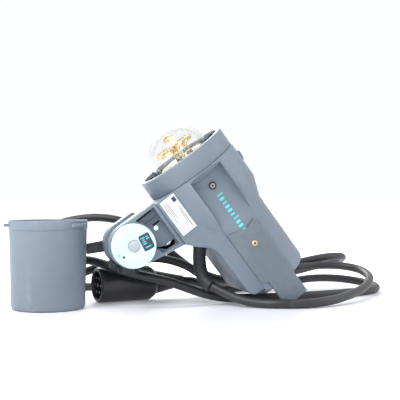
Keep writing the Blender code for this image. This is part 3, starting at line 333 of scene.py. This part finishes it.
# Sheathing: the sine of three turns round plus the way along shows the twist of the cores under it.
def cableSheath(name, colour, light, turns=3, twistRate=150):
    f = Finish(name)
    around = f.node("SeparateXYZ", {}, {0: f.node("UVMap", {"uv_map": "along"}, {}, out="UV")})
    along = around.fromSameNode("Y")
    twist = f.node("Math", {"operation": "SINE"}, {0: around * (2 * math.pi * turns) + along * twistRate})
    dust = f.fade(f.noise(30, 5, 0.7), 0.46, 0.8)
    fine = f.noise(1400, 2, 0.6)
    return f.paint(Base_Color=f.mix(dust * 0.7, colour, light), Roughness=0.42 + 0.16 * dust,
                   Normal=f.bump(twist * 0.5 + fine * 0.25, 0.35, 0.00012), Specular_IOR_Level=0.6)


# Turned metal: noise stretched along one axis makes tool lines, and slow stains dull them.
def turnedMetal(name, colour, roughness=0.28, scale=(900, 900, 40)):
    f = Finish(name)
    stretched = f.node("Mapping", {}, {"Vector": f.place(), "Scale": scale})
    lines = f.noise(1.0, 3, 0.6, stretched)
    stain = f.fade(f.noise(70, 4, 0.6), 0.4, 0.75)
    return f.paint(Base_Color=f.mix(stain * 0.35, colour, [c * 0.72 for c in colour]), Metallic=1.0,
                   Roughness=roughness + 0.14 * lines + 0.1 * stain, Normal=f.bump(lines, 0.3, 0.00003))


# Clear glass with a trace of haze.
def clearGlass(name, tint, roughness=0.02):
    f = Finish(name)
    haze = f.noise(90, 4, 0.6)
    return f.paint(Base_Color=f.mix(haze * 0.3, tint, [c * 0.93 for c in tint]),
                   Roughness=roughness + 0.05 * haze, Transmission_Weight=0.97, IOR=1.45)


finishes = {
    "housing": mouldedPlastic("blueGreyHousing", (0.165, 0.208, 0.250), (0.195, 0.242, 0.290)),
    "panel": mouldedPlastic("sidePlateGrey", (0.125, 0.156, 0.182), (0.145, 0.180, 0.210)),
    "black_plastic": mouldedPlastic("blackSatin", (0.012, 0.013, 0.016), (0.022, 0.023, 0.027),
                                    roughness=0.34, grain=1800, depth=0.00003, wear=0.25),
    "matt_black": mouldedPlastic("mattBlack", (0.006, 0.006, 0.007), (0.012, 0.012, 0.014),
                                 roughness=0.75, grain=900, wear=0.15),
    "gloss_black": mouldedPlastic("plugBlack", (0.008, 0.008, 0.010), (0.016, 0.016, 0.02),
                                  roughness=0.3, grain=1200, depth=0.00002, wear=0.3, gloss=0.12),
    "black_rubber": softRubber("bootRubber", (0.020, 0.020, 0.024), (0.055, 0.055, 0.062)),
    "cable": cableSheath("cableSheath", (0.016, 0.016, 0.019), (0.055, 0.055, 0.064)),
    "steel": turnedMetal("turnedSteel", (0.62, 0.61, 0.58)),
    "brass": turnedMetal("goldenBrass", (0.83, 0.60, 0.27), roughness=0.24),
    "aluminium": turnedMetal("satinAluminium", (0.78, 0.79, 0.81), roughness=0.34),
    "ceramic": mouldedPlastic("creamCeramic", (0.86, 0.78, 0.60), (0.92, 0.86, 0.70),
                              roughness=0.5, grain=900, depth=0.00005, wear=0.2),
    "glass": clearGlass("domeGlass", (0.97, 0.98, 0.98)),
    "board": mouldedPlastic("circuitBoard", (0.03, 0.16, 0.09), (0.04, 0.22, 0.12), roughness=0.35),
    "mint": mouldedPlastic("paleMint", (0.60, 0.86, 0.85), (0.68, 0.90, 0.89),
                           roughness=0.38, depth=0.00002, wear=0.3),
    "button": mouldedPlastic("discButtonGrey", (0.42, 0.46, 0.50), (0.48, 0.52, 0.56),
                             roughness=0.4, depth=0.00002, wear=0.3),
    "label": mouldedPlastic("silverLabel", (0.66, 0.68, 0.67), (0.74, 0.76, 0.75),
                            roughness=0.34, grain=800, depth=0.00002, wear=0.1),
    "turquoise": mouldedPlastic("turquoiseInk", (0.10, 0.62, 0.66), (0.16, 0.72, 0.75),
                                roughness=0.4, depth=0.00001, wear=0.1),
    "ink": mouldedPlastic("darkInk", (0.035, 0.055, 0.085), (0.05, 0.07, 0.10),
                          roughness=0.4, depth=0.00001, wear=0.1),
    "paleInk": mouldedPlastic("greyInk", (0.30, 0.31, 0.31), (0.38, 0.39, 0.39),
                              roughness=0.5, depth=0.00001, wear=0.1),
    "tubeGlass": clearGlass("tubeGlass", (0.96, 0.74, 0.40), roughness=0.08),
}
print("finishes made:", len(finishes))


# The moulded and turned parts: a merged copy of each solid, its edges eased by so many metres.
copies = {
    "wide": {"ease": 0.0009, "names": (
        "front_ring", "upper_housing", "lower_housing", "bracket_arm", "protective_cap", "rear_panel",
        "stand_socket", "plug_body", "tilt_disc", "clamp_lever")},
    "fine": {"ease": 0.0004, "names": (
        "near_side_plate", "far_side_plate", "focus_knob", "release_slide", "lamp_rocker", "fan_rocker",
        "plug_tail", "plug_insert", "lock_screw", "disc_button", "tilt_bolt", "near_washer", "far_washer",
        "lever_nut", "near_housing_screw", "far_housing_screw", "near_plate_screw", "far_plate_screw",
        "lamp_socket", "tube_base", "reflector_plate", "ready_light", "type_label", "dome_retainer")},
    "plain": {"ease": 0, "names": (
        "bulkhead", "near_guide_rod", "far_guide_rod", "fan_frame", "fan_rotor", "ignition_transformer",
        "control_board", "terminal_block", "inner_lead", "cable_clamp", "release_spring", "lead_screw",
        "focus_carriage", "lower_electrode", "upper_electrode")},
}
nodeBody = {node: body for body, nodes in frame["record"]["behaviour"]["bodies"].items() for node in nodes}
nodeSlot = {part["node"]: part["material_slot"] for part in frame["record"]["subparts"]}
nodeFinish = {        # where the finish isn't the one of the node's slot
    "dome_retainer": "matt_black", "disc_button": "button", "near_housing_screw": "black_plastic",
    "far_housing_screw": "black_plastic", "near_side_plate": "panel", "far_side_plate": "panel",
    "plug_body": "gloss_black", "plug_insert": "gloss_black", "clamp_lever": "gloss_black"}
edgeRule = {"merge": 2e-6, "flat": math.radians(0.6), "sharp": 34, "steps": 2}


# The solid's loose triangles merged, its flat faces joined and its sharp edges rounded by ease.
def easedCopy(node, ease):
    mesh = bmesh.new()
    mesh.from_mesh(frame["nodes"][node].data)
    bmesh.ops.remove_doubles(mesh, verts=mesh.verts, dist=edgeRule["merge"])
    bmesh.ops.dissolve_limit(mesh, angle_limit=edgeRule["flat"], verts=mesh.verts, edges=mesh.edges)
    data = bpy.data.meshes.new(node + "Eased")
    mesh.to_mesh(data)
    mesh.free()
    piece = placePiece(node + "Eased", data, nodeBody[node], finishes[nodeFinish.get(node, nodeSlot[node])],
                       crisp=0 if ease else edgeRule["sharp"])
    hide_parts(node)
    if ease:
        rounding = piece.modifiers.new("rounding", "BEVEL")
        rounding.width, rounding.segments = ease, edgeRule["steps"]
        rounding.limit_method, rounding.angle_limit = "ANGLE", math.radians(edgeRule["sharp"])
        rounding.use_clamp_overlap = rounding.harden_normals = True


for group in copies.values():
    for nodeName in group["names"]:
        easedCopy(nodeName, group["ease"])
print("solids eased:", sum(len(group["names"]) for group in copies.values()))


# A closed low cushion: its outline is a superellipse, cosine and sine raised to 2 over squareness,
# and each ring is a share of that outline at a share of the height.
def padGrid(centre, across, along, halfA, halfB, height, squareness, around=28):
    angle = np.arange(around) / around * 2 * math.pi
    power = 2 / squareness
    a = np.sign(np.cos(angle)) * np.abs(np.cos(angle)) ** power * halfA
    b = np.sign(np.sin(angle)) * np.abs(np.sin(angle)) ** power * halfB
    slope = height / min(halfA, halfB)
    rows = [(0.02, 0), (1, 0), (1, 0.55), (1 - 0.25 * slope, 0.9), (1 - 0.7 * slope, 1), (0.02, 1)]
    outline, out = a[:, None] * across + b[:, None] * along, np.cross(across, along)
    points = np.concatenate([centre + share * outline + rise * height * out for share, rise in rows])
    return points, gridFaces(len(rows), around).tolist() + ringEnds(len(points), around)


# Many pads joined in one piece; each is the values of one padGrid call.
def padsPiece(name, pads, body, finish):
    points, faces, count = [], [], 0
    for pad in pads:
        some, shape = padGrid(*pad)
        points.append(some)
        faces += [[corner + count for corner in face] for face in shape]
        count += len(some)
    return meshPiece(name, np.concatenate(points), faces, body, finish)


# A pad on the near side of the head, or on the far side where w is positive.
def onSide(u, v, w, halfU, halfV, height, squareness=5):
    first, second = noseToTail, upFromAxis
    if w > 0:
        first, second, halfU, halfV = second, first, halfV, halfU
    return (headPlace(u, w, v), first, second, halfU * mm, halfV * mm, height * mm, squareness)


sideMark = {"start": 66, "pitch": 6.1, "face": 50, "height": 0.16,
            "tallFrom": 4, "tallRaise": 1.2, "wideFrom": 1.5,
            "halfHeights": (4.6, 3.4, 3.4, 3.4, 3.4, 3.4, 4.6, 3.4, 3.4, 3.4),
            "halfWidths": (1.0, 1.9, 1.1, 1.9, 1.9, 1.1, 0.8, 1.9, 1.9, 1.1),
            "core": {"shift": 0.2, "lift": 0.1, "height": 0.1, "shareU": 0.2, "shareV": 0.45}}
marks, core = [], sideMark["core"]
for side in (-1, 1):
    for index, (tall, wide) in enumerate(zip(sideMark["halfHeights"], sideMark["halfWidths"])):
        step = index if side < 0 else len(sideMark["halfWidths"]) - 1 - index
        place = sideMark["start"] + step * sideMark["pitch"]
        marks.append(onSide(place, sideMark["tallRaise"] if tall > sideMark["tallFrom"] else 0,
                            side * sideMark["face"], wide, tall, sideMark["height"], 3))
        if wide > sideMark["wideFrom"]:        # a raised core in each wide bar
            marks.append(onSide(place + core["shift"], 0, side * (sideMark["face"] + core["lift"]),
                                wide * core["shareU"], tall * core["shareV"], core["height"], 3))
padsPiece("sideMarks", marks, "head", finishes["turquoise"])

labelPrint = {"face": 47.8, "height": 0.06,
              # place across, start and end along the head, and half height of each printed line
              "lines": ((-50.5, 46, 76, 0.55), (-52.6, 50, 70, 0.3), (-64.5, 32, 62, 0.3),
                        (-62.6, 32, 54, 0.3), (-60.7, 32, 58, 0.3), (-66.4, 32, 48, 0.3)),
              "block": {"place": (34.6, -50.6), "half": (3.2, 2.6), "height": 0.08}}
padsPiece("labelLines", [onSide((start + end) / 2, v, -labelPrint["face"], (end - start) / 2, half,
                                labelPrint["height"], 6) for v, start, end, half in labelPrint["lines"]],
          "head", finishes["paleInk"])
block = labelPrint["block"]
padsPiece("labelBlock", [onSide(*block["place"], -labelPrint["face"], *block["half"], block["height"], 8)],
          "head", finishes["ink"])

# screw centres: a flat black pad of painted shade on the floor of the socket inside each head, with a raised
# bright ring round it
screws = {"housing": {"u": 51, "w": 51.2, "ring": 3.1, "socket": 1.7, "finish": "steel"},
          "plate": {"u": 144, "w": 54.0, "ring": 3.3, "socket": 1.5, "finish": "brass"}}
screwSocket = {"sunk": 0.02, "wider": 0.1, "height": 0.12}
for screwName, screw in screws.items():
    for side, sideName in ((-1, "near"), (1, "far")):
        ring, socket = screw["ring"], screw["socket"]
        socketShadeHalf = socket + screwSocket["wider"]
        lathePiece(sideName + screwName.title() + "Ring",
                   [(socket, -0.3), (socket, 0.35), (socket + 0.3, 0.5),
                    (ring - 0.4, 0.5), (ring, 0.1), (ring, -0.3)],
                   headPlace(screw["u"], side * screw["w"], 0), np.array([0, side, 0.0]), 36,
                   "head", finishes[screw["finish"]])
        # painted shade: a black pad where the socket's hollow is dark
        padsPiece(sideName + screwName.title() + "Socket",
                  [onSide(screw["u"], 0, side * (screw["w"] - screwSocket["sunk"]), socketShadeHalf, socketShadeHalf,
                          screwSocket["height"], 2)],
                  "head", finishes["black_plastic"])

# bracket: on the floor of each side pocket, flat black pads of painted shade (one in a slot's hollow, one in
# the shadow behind the rib) and a raised rib, as place and half sizes
pocket = {"floor": 22, "shadePads": ((31.2, -91, 1.5, 12.5), (48.6, -83, 1.3, 5.2)), "shadeHeight": 0.12,
          "rib": (42.6, -86.5, 1.6, 8.6), "ribHeight": 1.9, "ribFoot": 0.1}
# painted shade: black pads where the slot's hollow and the rib's shadow are dark
padsPiece("pocketPaintedShade", [onSide(u, v, side * pocket["floor"], halfU, halfV, pocket["shadeHeight"], 8)
                          for u, v, halfU, halfV in pocket["shadePads"] for side in (-1, 1)],
          "head", finishes["matt_black"])
ribU, ribV, *ribHalf = pocket["rib"]
padsPiece("pocketRibs", [onSide(ribU, ribV, side * (pocket["floor"] - pocket["ribFoot"]), *ribHalf,
                                pocket["ribHeight"], 8) for side in (-1, 1)],
          "head", finishes["housing"])

# tilt disc: a dark block with a mark of plain bars, two dots and a raised rim; places are in mm to the
# right and up from the disc's centre, and each bar is its place in the block and its half length
discFace = {"depth": -44.8, "centre": (51.6, -126)}
discBlock = {"place": (15.6, 5.4), "turn": math.radians(27), "half": (7.4, 10.6), "height": 0.12,
             "bars": ((-2.6, 6.6, 2.9), (-2.6, 3.9, 1.7), (-2.6, 1.2, 2.3), (-2.6, -1.5, 2.9),
                      (3.2, 6.2, 1.6), (3.2, 3.5, 2.4), (-0.4, -6.4, 4.2)),
             "barHalf": 0.7, "barHeight": 0.08, "barLift": 0.11}
discDots = {"bright": (-19.2, -11.8, 1.6), "dark": (-13.2, -13.8, 1.7), "height": 0.1}
discRim = ((25.6, -0.1), (25.9, 0.22), (27.0, 0.3), (27.9, 0.1), (28.0, -0.3))
discCentre = headPlace(discFace["centre"][0], discFace["depth"], discFace["centre"][1])
rightward, upward, outOfDisc = np.array([1.0, 0, 0]), np.array([0, 0, 1.0]), np.array([0, -1.0, 0])


# A pad on the tilt disc, turned in its plane.
def onDisc(right, up, halfA, halfB, height, squareness, turn=0.0, lift=0.0):
    first = math.cos(turn) * rightward + math.sin(turn) * upward
    second = -math.sin(turn) * rightward + math.cos(turn) * upward
    place = discCentre + (right * rightward + up * upward + lift * outOfDisc) * mm
    return (place, first, second, halfA * mm, halfB * mm, height * mm, squareness)


blockPlace, turn = np.array(discBlock["place"]), discBlock["turn"]
blockSide = np.array([math.cos(turn), math.sin(turn)])
blockUp = np.array([-math.sin(turn), math.cos(turn)])
padsPiece("discBlock", [onDisc(*blockPlace, *discBlock["half"], discBlock["height"], 9, turn)],
          "head", finishes["ink"])
padsPiece("discMark", [onDisc(*(blockPlace + a * blockSide + b * blockUp), half, discBlock["barHalf"],
                              discBlock["barHeight"], 4, turn, discBlock["barLift"])
                       for a, b, half in discBlock["bars"]],
          "head", finishes["turquoise"])
for dotName, dotKind, inkName, slotName in (("discDots", "bright", "turquoise", "mint"),
                                            ("discDarkDot", "dark", "ink", "black_plastic")):
    right, up, dotRadius = discDots[dotKind]
    padsPiece(dotName, [onDisc(right, up, dotRadius, dotRadius, discDots["height"], 2)],
              "head", finishes[inkName])
lathePiece("discRim", discRim, discCentre, outOfDisc, 96, "head", finishes["mint"])
print("marks, label and screws made")

# fine ribs along each side plate
ribs = {"start": 128, "end": 234, "slant": 10.5, "low": -14.2, "high": 20.0, "pitch": 1.55, "depth": 0.28,
        "face": 52.8, "sunk": 0.02, "under": 0.3, "rows": 4, "perRib": 8}


# A closed sheet over the plate: its height is the absolute sine across it, so that round ribs run along
# it, and its front edge slants as the plate's does.
def ribbedSkin(name, side):
    rows, columns = ribs["rows"], int((ribs["high"] - ribs["low"]) / ribs["pitch"] * ribs["perRib"])
    v = np.linspace(ribs["low"], ribs["high"], columns)[None]
    front = ribs["start"] - (v - ribs["low"]) / (ribs["high"] - ribs["low"]) * ribs["slant"]
    u = front + (ribs["end"] - front) * np.linspace(0, 1, rows)[:, None]
    height = ribs["depth"] * np.abs(np.sin(math.pi * (v - ribs["low"]) / ribs["pitch"]))
    top = headPlace(u, side * (ribs["face"] - ribs["sunk"] + height), v).reshape(-1, 3)
    under = headPlace(u, side * (ribs["face"] - ribs["under"]), v).reshape(-1, 3)
    topFaces, count = gridFaces(rows, columns, False), rows * columns
    grid = np.arange(count).reshape(rows, columns)
    edge = np.concatenate([grid[0], grid[1:, -1], grid[-1, -2::-1], grid[-2:0:-1, 0]])
    after = np.roll(edge, -1)
    walls = np.stack([edge, after, after + count, edge + count], -1)
    piece = meshPiece(name, np.concatenate([top, under]),
                      np.concatenate([topFaces, topFaces[:, ::-1] + count, walls]).tolist(),
                      "head", finishes["panel"])
    closeMesh(piece.data)


ribbedSkin("nearPlateRibs", -1)
ribbedSkin("farPlateRibs", 1)
print("plate ribs made")

# glass dome: a quarter circle outside, the same less the wall inside, on a straight foot
dome = {"radius": 41, "wall": 1.9, "foot": 11.4, "steps": 26, "sides": 72}
arc = np.linspace(0, math.pi / 2, dome["steps"])
quarter = np.stack([np.cos(arc), np.sin(arc)], -1)
innerRadius = dome["radius"] - dome["wall"]
domeProfile = np.concatenate([[(innerRadius, -dome["foot"]), (dome["radius"], -dome["foot"])],
                              dome["radius"] * quarter, innerRadius * quarter[::-1]])
headFront = headPlace(0, 0, 0)
glassDome = lathePiece("glassDome", domeProfile, headFront, -noseToTail, dome["sides"],
                       "dome", finishes["glass"])
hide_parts("glass_dome")

# ring flash tube: an open circle whose two legs go back into the base
ringTube = {"radius": 24, "thick": 3.2, "forward": -14, "gap": math.radians(20), "legs": (-1, -9.6),
            "points": 90, "pathPoints": 170, "sides": 20}
angle = np.linspace(math.pi + ringTube["gap"], 3 * math.pi - ringTube["gap"], ringTube["points"])
ringSide, ringUp = ringTube["radius"] * np.cos(angle), ringTube["radius"] * np.sin(angle)
loop = headPlace(ringTube["forward"], ringSide, ringUp)
leg = np.linspace(*ringTube["legs"], 6)
firstLeg, lastLeg = headPlace(leg, ringSide[0], ringUp[0]), headPlace(leg[::-1], ringSide[-1], ringUp[-1])
tubeRoute = np.concatenate([firstLeg, loop[2:-2:4], loop[-3:-2], lastLeg])
tubePath = evenly(curveThrough(tubeRoute, 6), ringTube["pathPoints"])[0]
flashTube = tubePiece("flashTubeGlass", tubePath, ringTube["thick"] * mm, ringTube["sides"],
                      "carriage", finishes["tubeGlass"])
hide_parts("flash_tube")

# trigger wire: the tube's path plus a circle that turns while it goes along
trigger = {"turns": 26, "clear": 0.25, "radius": 0.28, "points": 900, "shortBy": 20}
share = np.linspace(0, 1, trigger["points"])
onPath = share * (ringTube["pathPoints"] - 1)
along = np.stack([np.interp(onPath, np.arange(len(tubePath)), tubePath[:, k]) for k in range(3)], -1)
heading = headingsOf(along)
outward = along - headPlace(ringTube["forward"], 0, 0)
outward -= heading * (outward * heading).sum(1)[:, None]
outward /= np.linalg.norm(outward, axis=1)[:, None]
wind = share[:, None] * 2 * math.pi * trigger["turns"]
wire = along + (ringTube["thick"] + trigger["clear"]) * mm * (
    np.cos(wind) * outward + np.sin(wind) * np.cross(heading, outward))
tubePiece("triggerWire", wire[trigger["shortBy"]:-trigger["shortBy"]], trigger["radius"] * mm, 6,
          "carriage", finishes["brass"])

# modelling lamp: a capsule with an elliptical front, a ceramic cap, a coiled filament and its posts;
# profiles are distance from the axis and distance forward
bulb = {"radius": 7.6, "front": 32.5, "shoulder": 24, "bellyFrom": 13, "sides": 40,
        "foot": ((0, 6), (3.0, 6), (5.2, 7), (6.2, 9)),
        "cap": ((0, -8.8), (6.6, -8.8), (6.8, -8), (6.8, 3), (7.4, 3.6), (7.4, 6), (6.9, 6.6), (0, 6.6))}
tip = np.linspace(0.15, math.pi / 2, 10)
tipProfile = np.stack([bulb["radius"] * np.cos(tip),
                       bulb["shoulder"] + (bulb["front"] - bulb["shoulder"]) * np.sin(tip)], -1)
belly = [(bulb["radius"], bulb["bellyFrom"]), (bulb["radius"], bulb["shoulder"])]
bulbProfile = np.concatenate([bulb["foot"], belly, tipProfile])
lathePiece("modellingBulb", bulbProfile, headFront, -noseToTail, bulb["sides"],
           "carriage", finishes["tubeGlass"])
lampCap = lathePiece("modellingCap", bulb["cap"], headFront, -noseToTail, bulb["sides"],
                     "carriage", finishes["ceramic"])
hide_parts("modelling_lamp")
filament = {"start": 11, "length": 13, "coilRadius": 1.5, "turns": 12, "wireRadius": 0.45, "points": 420}
share = np.linspace(0, 1, filament["points"])
wind = share * 2 * math.pi * filament["turns"]
coilPath = headPlace(-(filament["start"] + filament["length"] * share),
                     filament["coilRadius"] * np.cos(wind), filament["coilRadius"] * np.sin(wind))
tubePiece("lampFilament", coilPath, filament["wireRadius"] * mm, 6, "carriage", finishes["brass"])
posts = {"radius": 0.5, "forward": np.array([6.0, 9, 12, 25.5, 26.2, 25.5, 12, 6]),
         "side": np.array([-2.6, -3, -3.2, -3.2, 0, 3.2, 3.2, 2.6])}
tubePiece("lampPosts", headPlace(-posts["forward"], posts["side"], 0), posts["radius"] * mm, 8,
          "carriage", finishes["brass"])
print("light unit made")

# rubber boot at the head: the radius falls from the top to the waist, swells at the end and dips
# between the ribs of its middle stretch
boot = {"path": ((27, 0, 84.5), (27, 0, 74.3), (26.6, -0.3, 64), (26.8, -1.2, 54), (28.2, -3.6, 44),
                 (31.5, -7.5, 35), (35.6, -11.4, 29), (39.3, -14.3, 26.4)),
        "top": 9.2, "end": 9.6, "waist": 8.8, "fall": 6, "swellFrom": 0.8, "swellOver": 0.08,
        "ribs": 6, "ribOver": 0.45, "ribFrom": 0.22, "ribTo": 0.7, "ribDepth": 0.25, "ribSharp": 0.55,
        "points": 150, "sides": 32}
bootPath = evenly(curveThrough(np.array(boot["path"]) * mm + originShift, 16), boot["points"])[0]
share = np.linspace(0, 1, boot["points"])
bootRadius = (boot["waist"] + (boot["top"] - boot["waist"]) * np.exp(-share * boot["fall"])
              + (boot["end"] - boot["waist"]) * np.clip((share - boot["swellFrom"]) / boot["swellOver"], 0, 1))
grooves = np.sin(share * 2 * math.pi * boot["ribs"] / boot["ribOver"]) > boot["ribSharp"]
bootRadius -= boot["ribDepth"] * grooves * ((share > boot["ribFrom"]) & (share < boot["ribTo"]))
rubberBoot = tubePiece("rubberBoot", bootPath, bootRadius * mm, boot["sides"],
                       "head", finishes["black_rubber"])
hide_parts("cable_boot")
print("boot made")

# The lamp cable, whose route in mm runs from the boot to the plug.
cable = {
    "radius": 6 * mm, "points": 800, "sides": 20,
    "route": (
        (39.9, -14.7, 26.1), (53, -24.6, 18.8), (70, -37, 10.6), (92, -51, 6.4), (120, -66, 6.3),
        (152, -71, 6.3), (190, -60, 7.5), (227, -36, 10.5), (260, -8, 14.5), (289, 26, 20.5),
        (304, 57, 27), (303, 86, 33.5), (285, 107, 37.5), (254, 116, 38.5),
        (220, 114, 36.5), (186, 106, 33), (146, 91, 28),
        (106, 74, 25), (72, 62, 27), (42, 60, 38), (15, 64, 51), (-12, 69, 57.5), (-42, 74, 57),
        (-72, 80, 52), (-98, 89, 45), (-126, 97, 34), (-155, 101, 21), (-181, 110.5, 11),
        (-200, 130, 6.8), (-205, 158, 6.2), (-190, 185, 6.2), (-158, 198, 6.2), (-115, 201, 6.2),
        (-40, 203, 6.2),
        (40, 209, 6.2), (120, 217, 6.2), (190, 223, 8.5), (240, 224, 17), (280, 215, 27),
        (305, 195, 36), (313, 169, 44), (300, 145, 49.5), (268, 131, 50), (216, 128, 41.5), (170, 125, 31),
        (130, 114, 24), (96, 99, 20.5), (70, 86, 24.5), (49, 80, 33), (28, 81, 47), (6, 86, 65),
        (-16, 93, 84), (-38, 100, 100), (-65, 108, 111), (-96, 118, 115), (-122, 125, 112.5),
        (-145, 128.5, 107), (-163, 126, 98), (-175, 117, 87), (-180, 104.5, 75.5), (-177, 92, 65),
        (-167, 81, 57.5), (-150, 75, 54.5), (-133, 68.5, 56.5), (-114, 57, 58), (-87, 39, 50.5),
        (-67, 30.5, 43.5), (-49, 24, 39),
        (-13, 14, 30.5), (15, 7.5, 20.5), (38, 4.5, 12.8), (66, 3, 7.5), (100, 2, 6.3),
        (140, 2.5, 6.2), (182, 7, 6.2), (232, 18, 6.2), (278, 33, 6.2), (309, 52, 6.2),
        (327, 77, 6.8), (329, 104, 9), (313, 127, 12.5), (284, 139, 15.5), (250, 141, 16), (214, 136, 13),
        (170, 132, 8.5), (128, 126, 6.4), (92, 117, 7), (62, 100, 14.5), (40, 89, 22),
        (24.4, 83.8, 24)
    )}
cableRoute = np.array(cable["route"]) * mm + originShift
cablePath, cableLength = evenly(curveThrough(cableRoute, 24), cable["points"])
lampCable = tubePiece("lampCable", cablePath, cable["radius"], cable["sides"],
                      "head", finishes["cable"])
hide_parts("lamp_cable")
print("cable laid:", round(float(cableLength), 3), "m")

# A pale table whose far end glows, so that its edge doesn't show.
table = {"halfWidth": 60, "near": -3, "far": 200, "colour": (0.80, 0.80, 0.86), "cloud": 0.985,
         "glow": 0.6, "glowFrom": 0.42, "glowFull": 0.85}
floor = bpy.data.meshes.new("tableTop")
floor.from_pydata([(-table["halfWidth"], table["near"], 0), (table["halfWidth"], table["near"], 0),
                   (table["halfWidth"], table["far"], 0), (-table["halfWidth"], table["far"], 0)],
                  [], [(0, 1, 2, 3)])
tableTop = bpy.data.objects.new("tableTop", floor)
bpy.context.scene.collection.objects.link(tableTop)
paper = Finish("tablePaper")
depth = paper.node("SeparateXYZ", {}, {0: paper.place()}, out="Y")
glow = paper.fade(depth * 0.5 + 0.5, table["glowFrom"], table["glowFull"])
tone = paper.mix(paper.noise(3, 3), table["colour"], [c * table["cloud"] for c in table["colour"]])
floor.materials.append(paper.paint(Base_Color=tone, Roughness=0.42, Emission_Strength=table["glow"],
                                   Emission_Color=paper.mix(glow, (0, 0, 0), (1, 1, 1))))
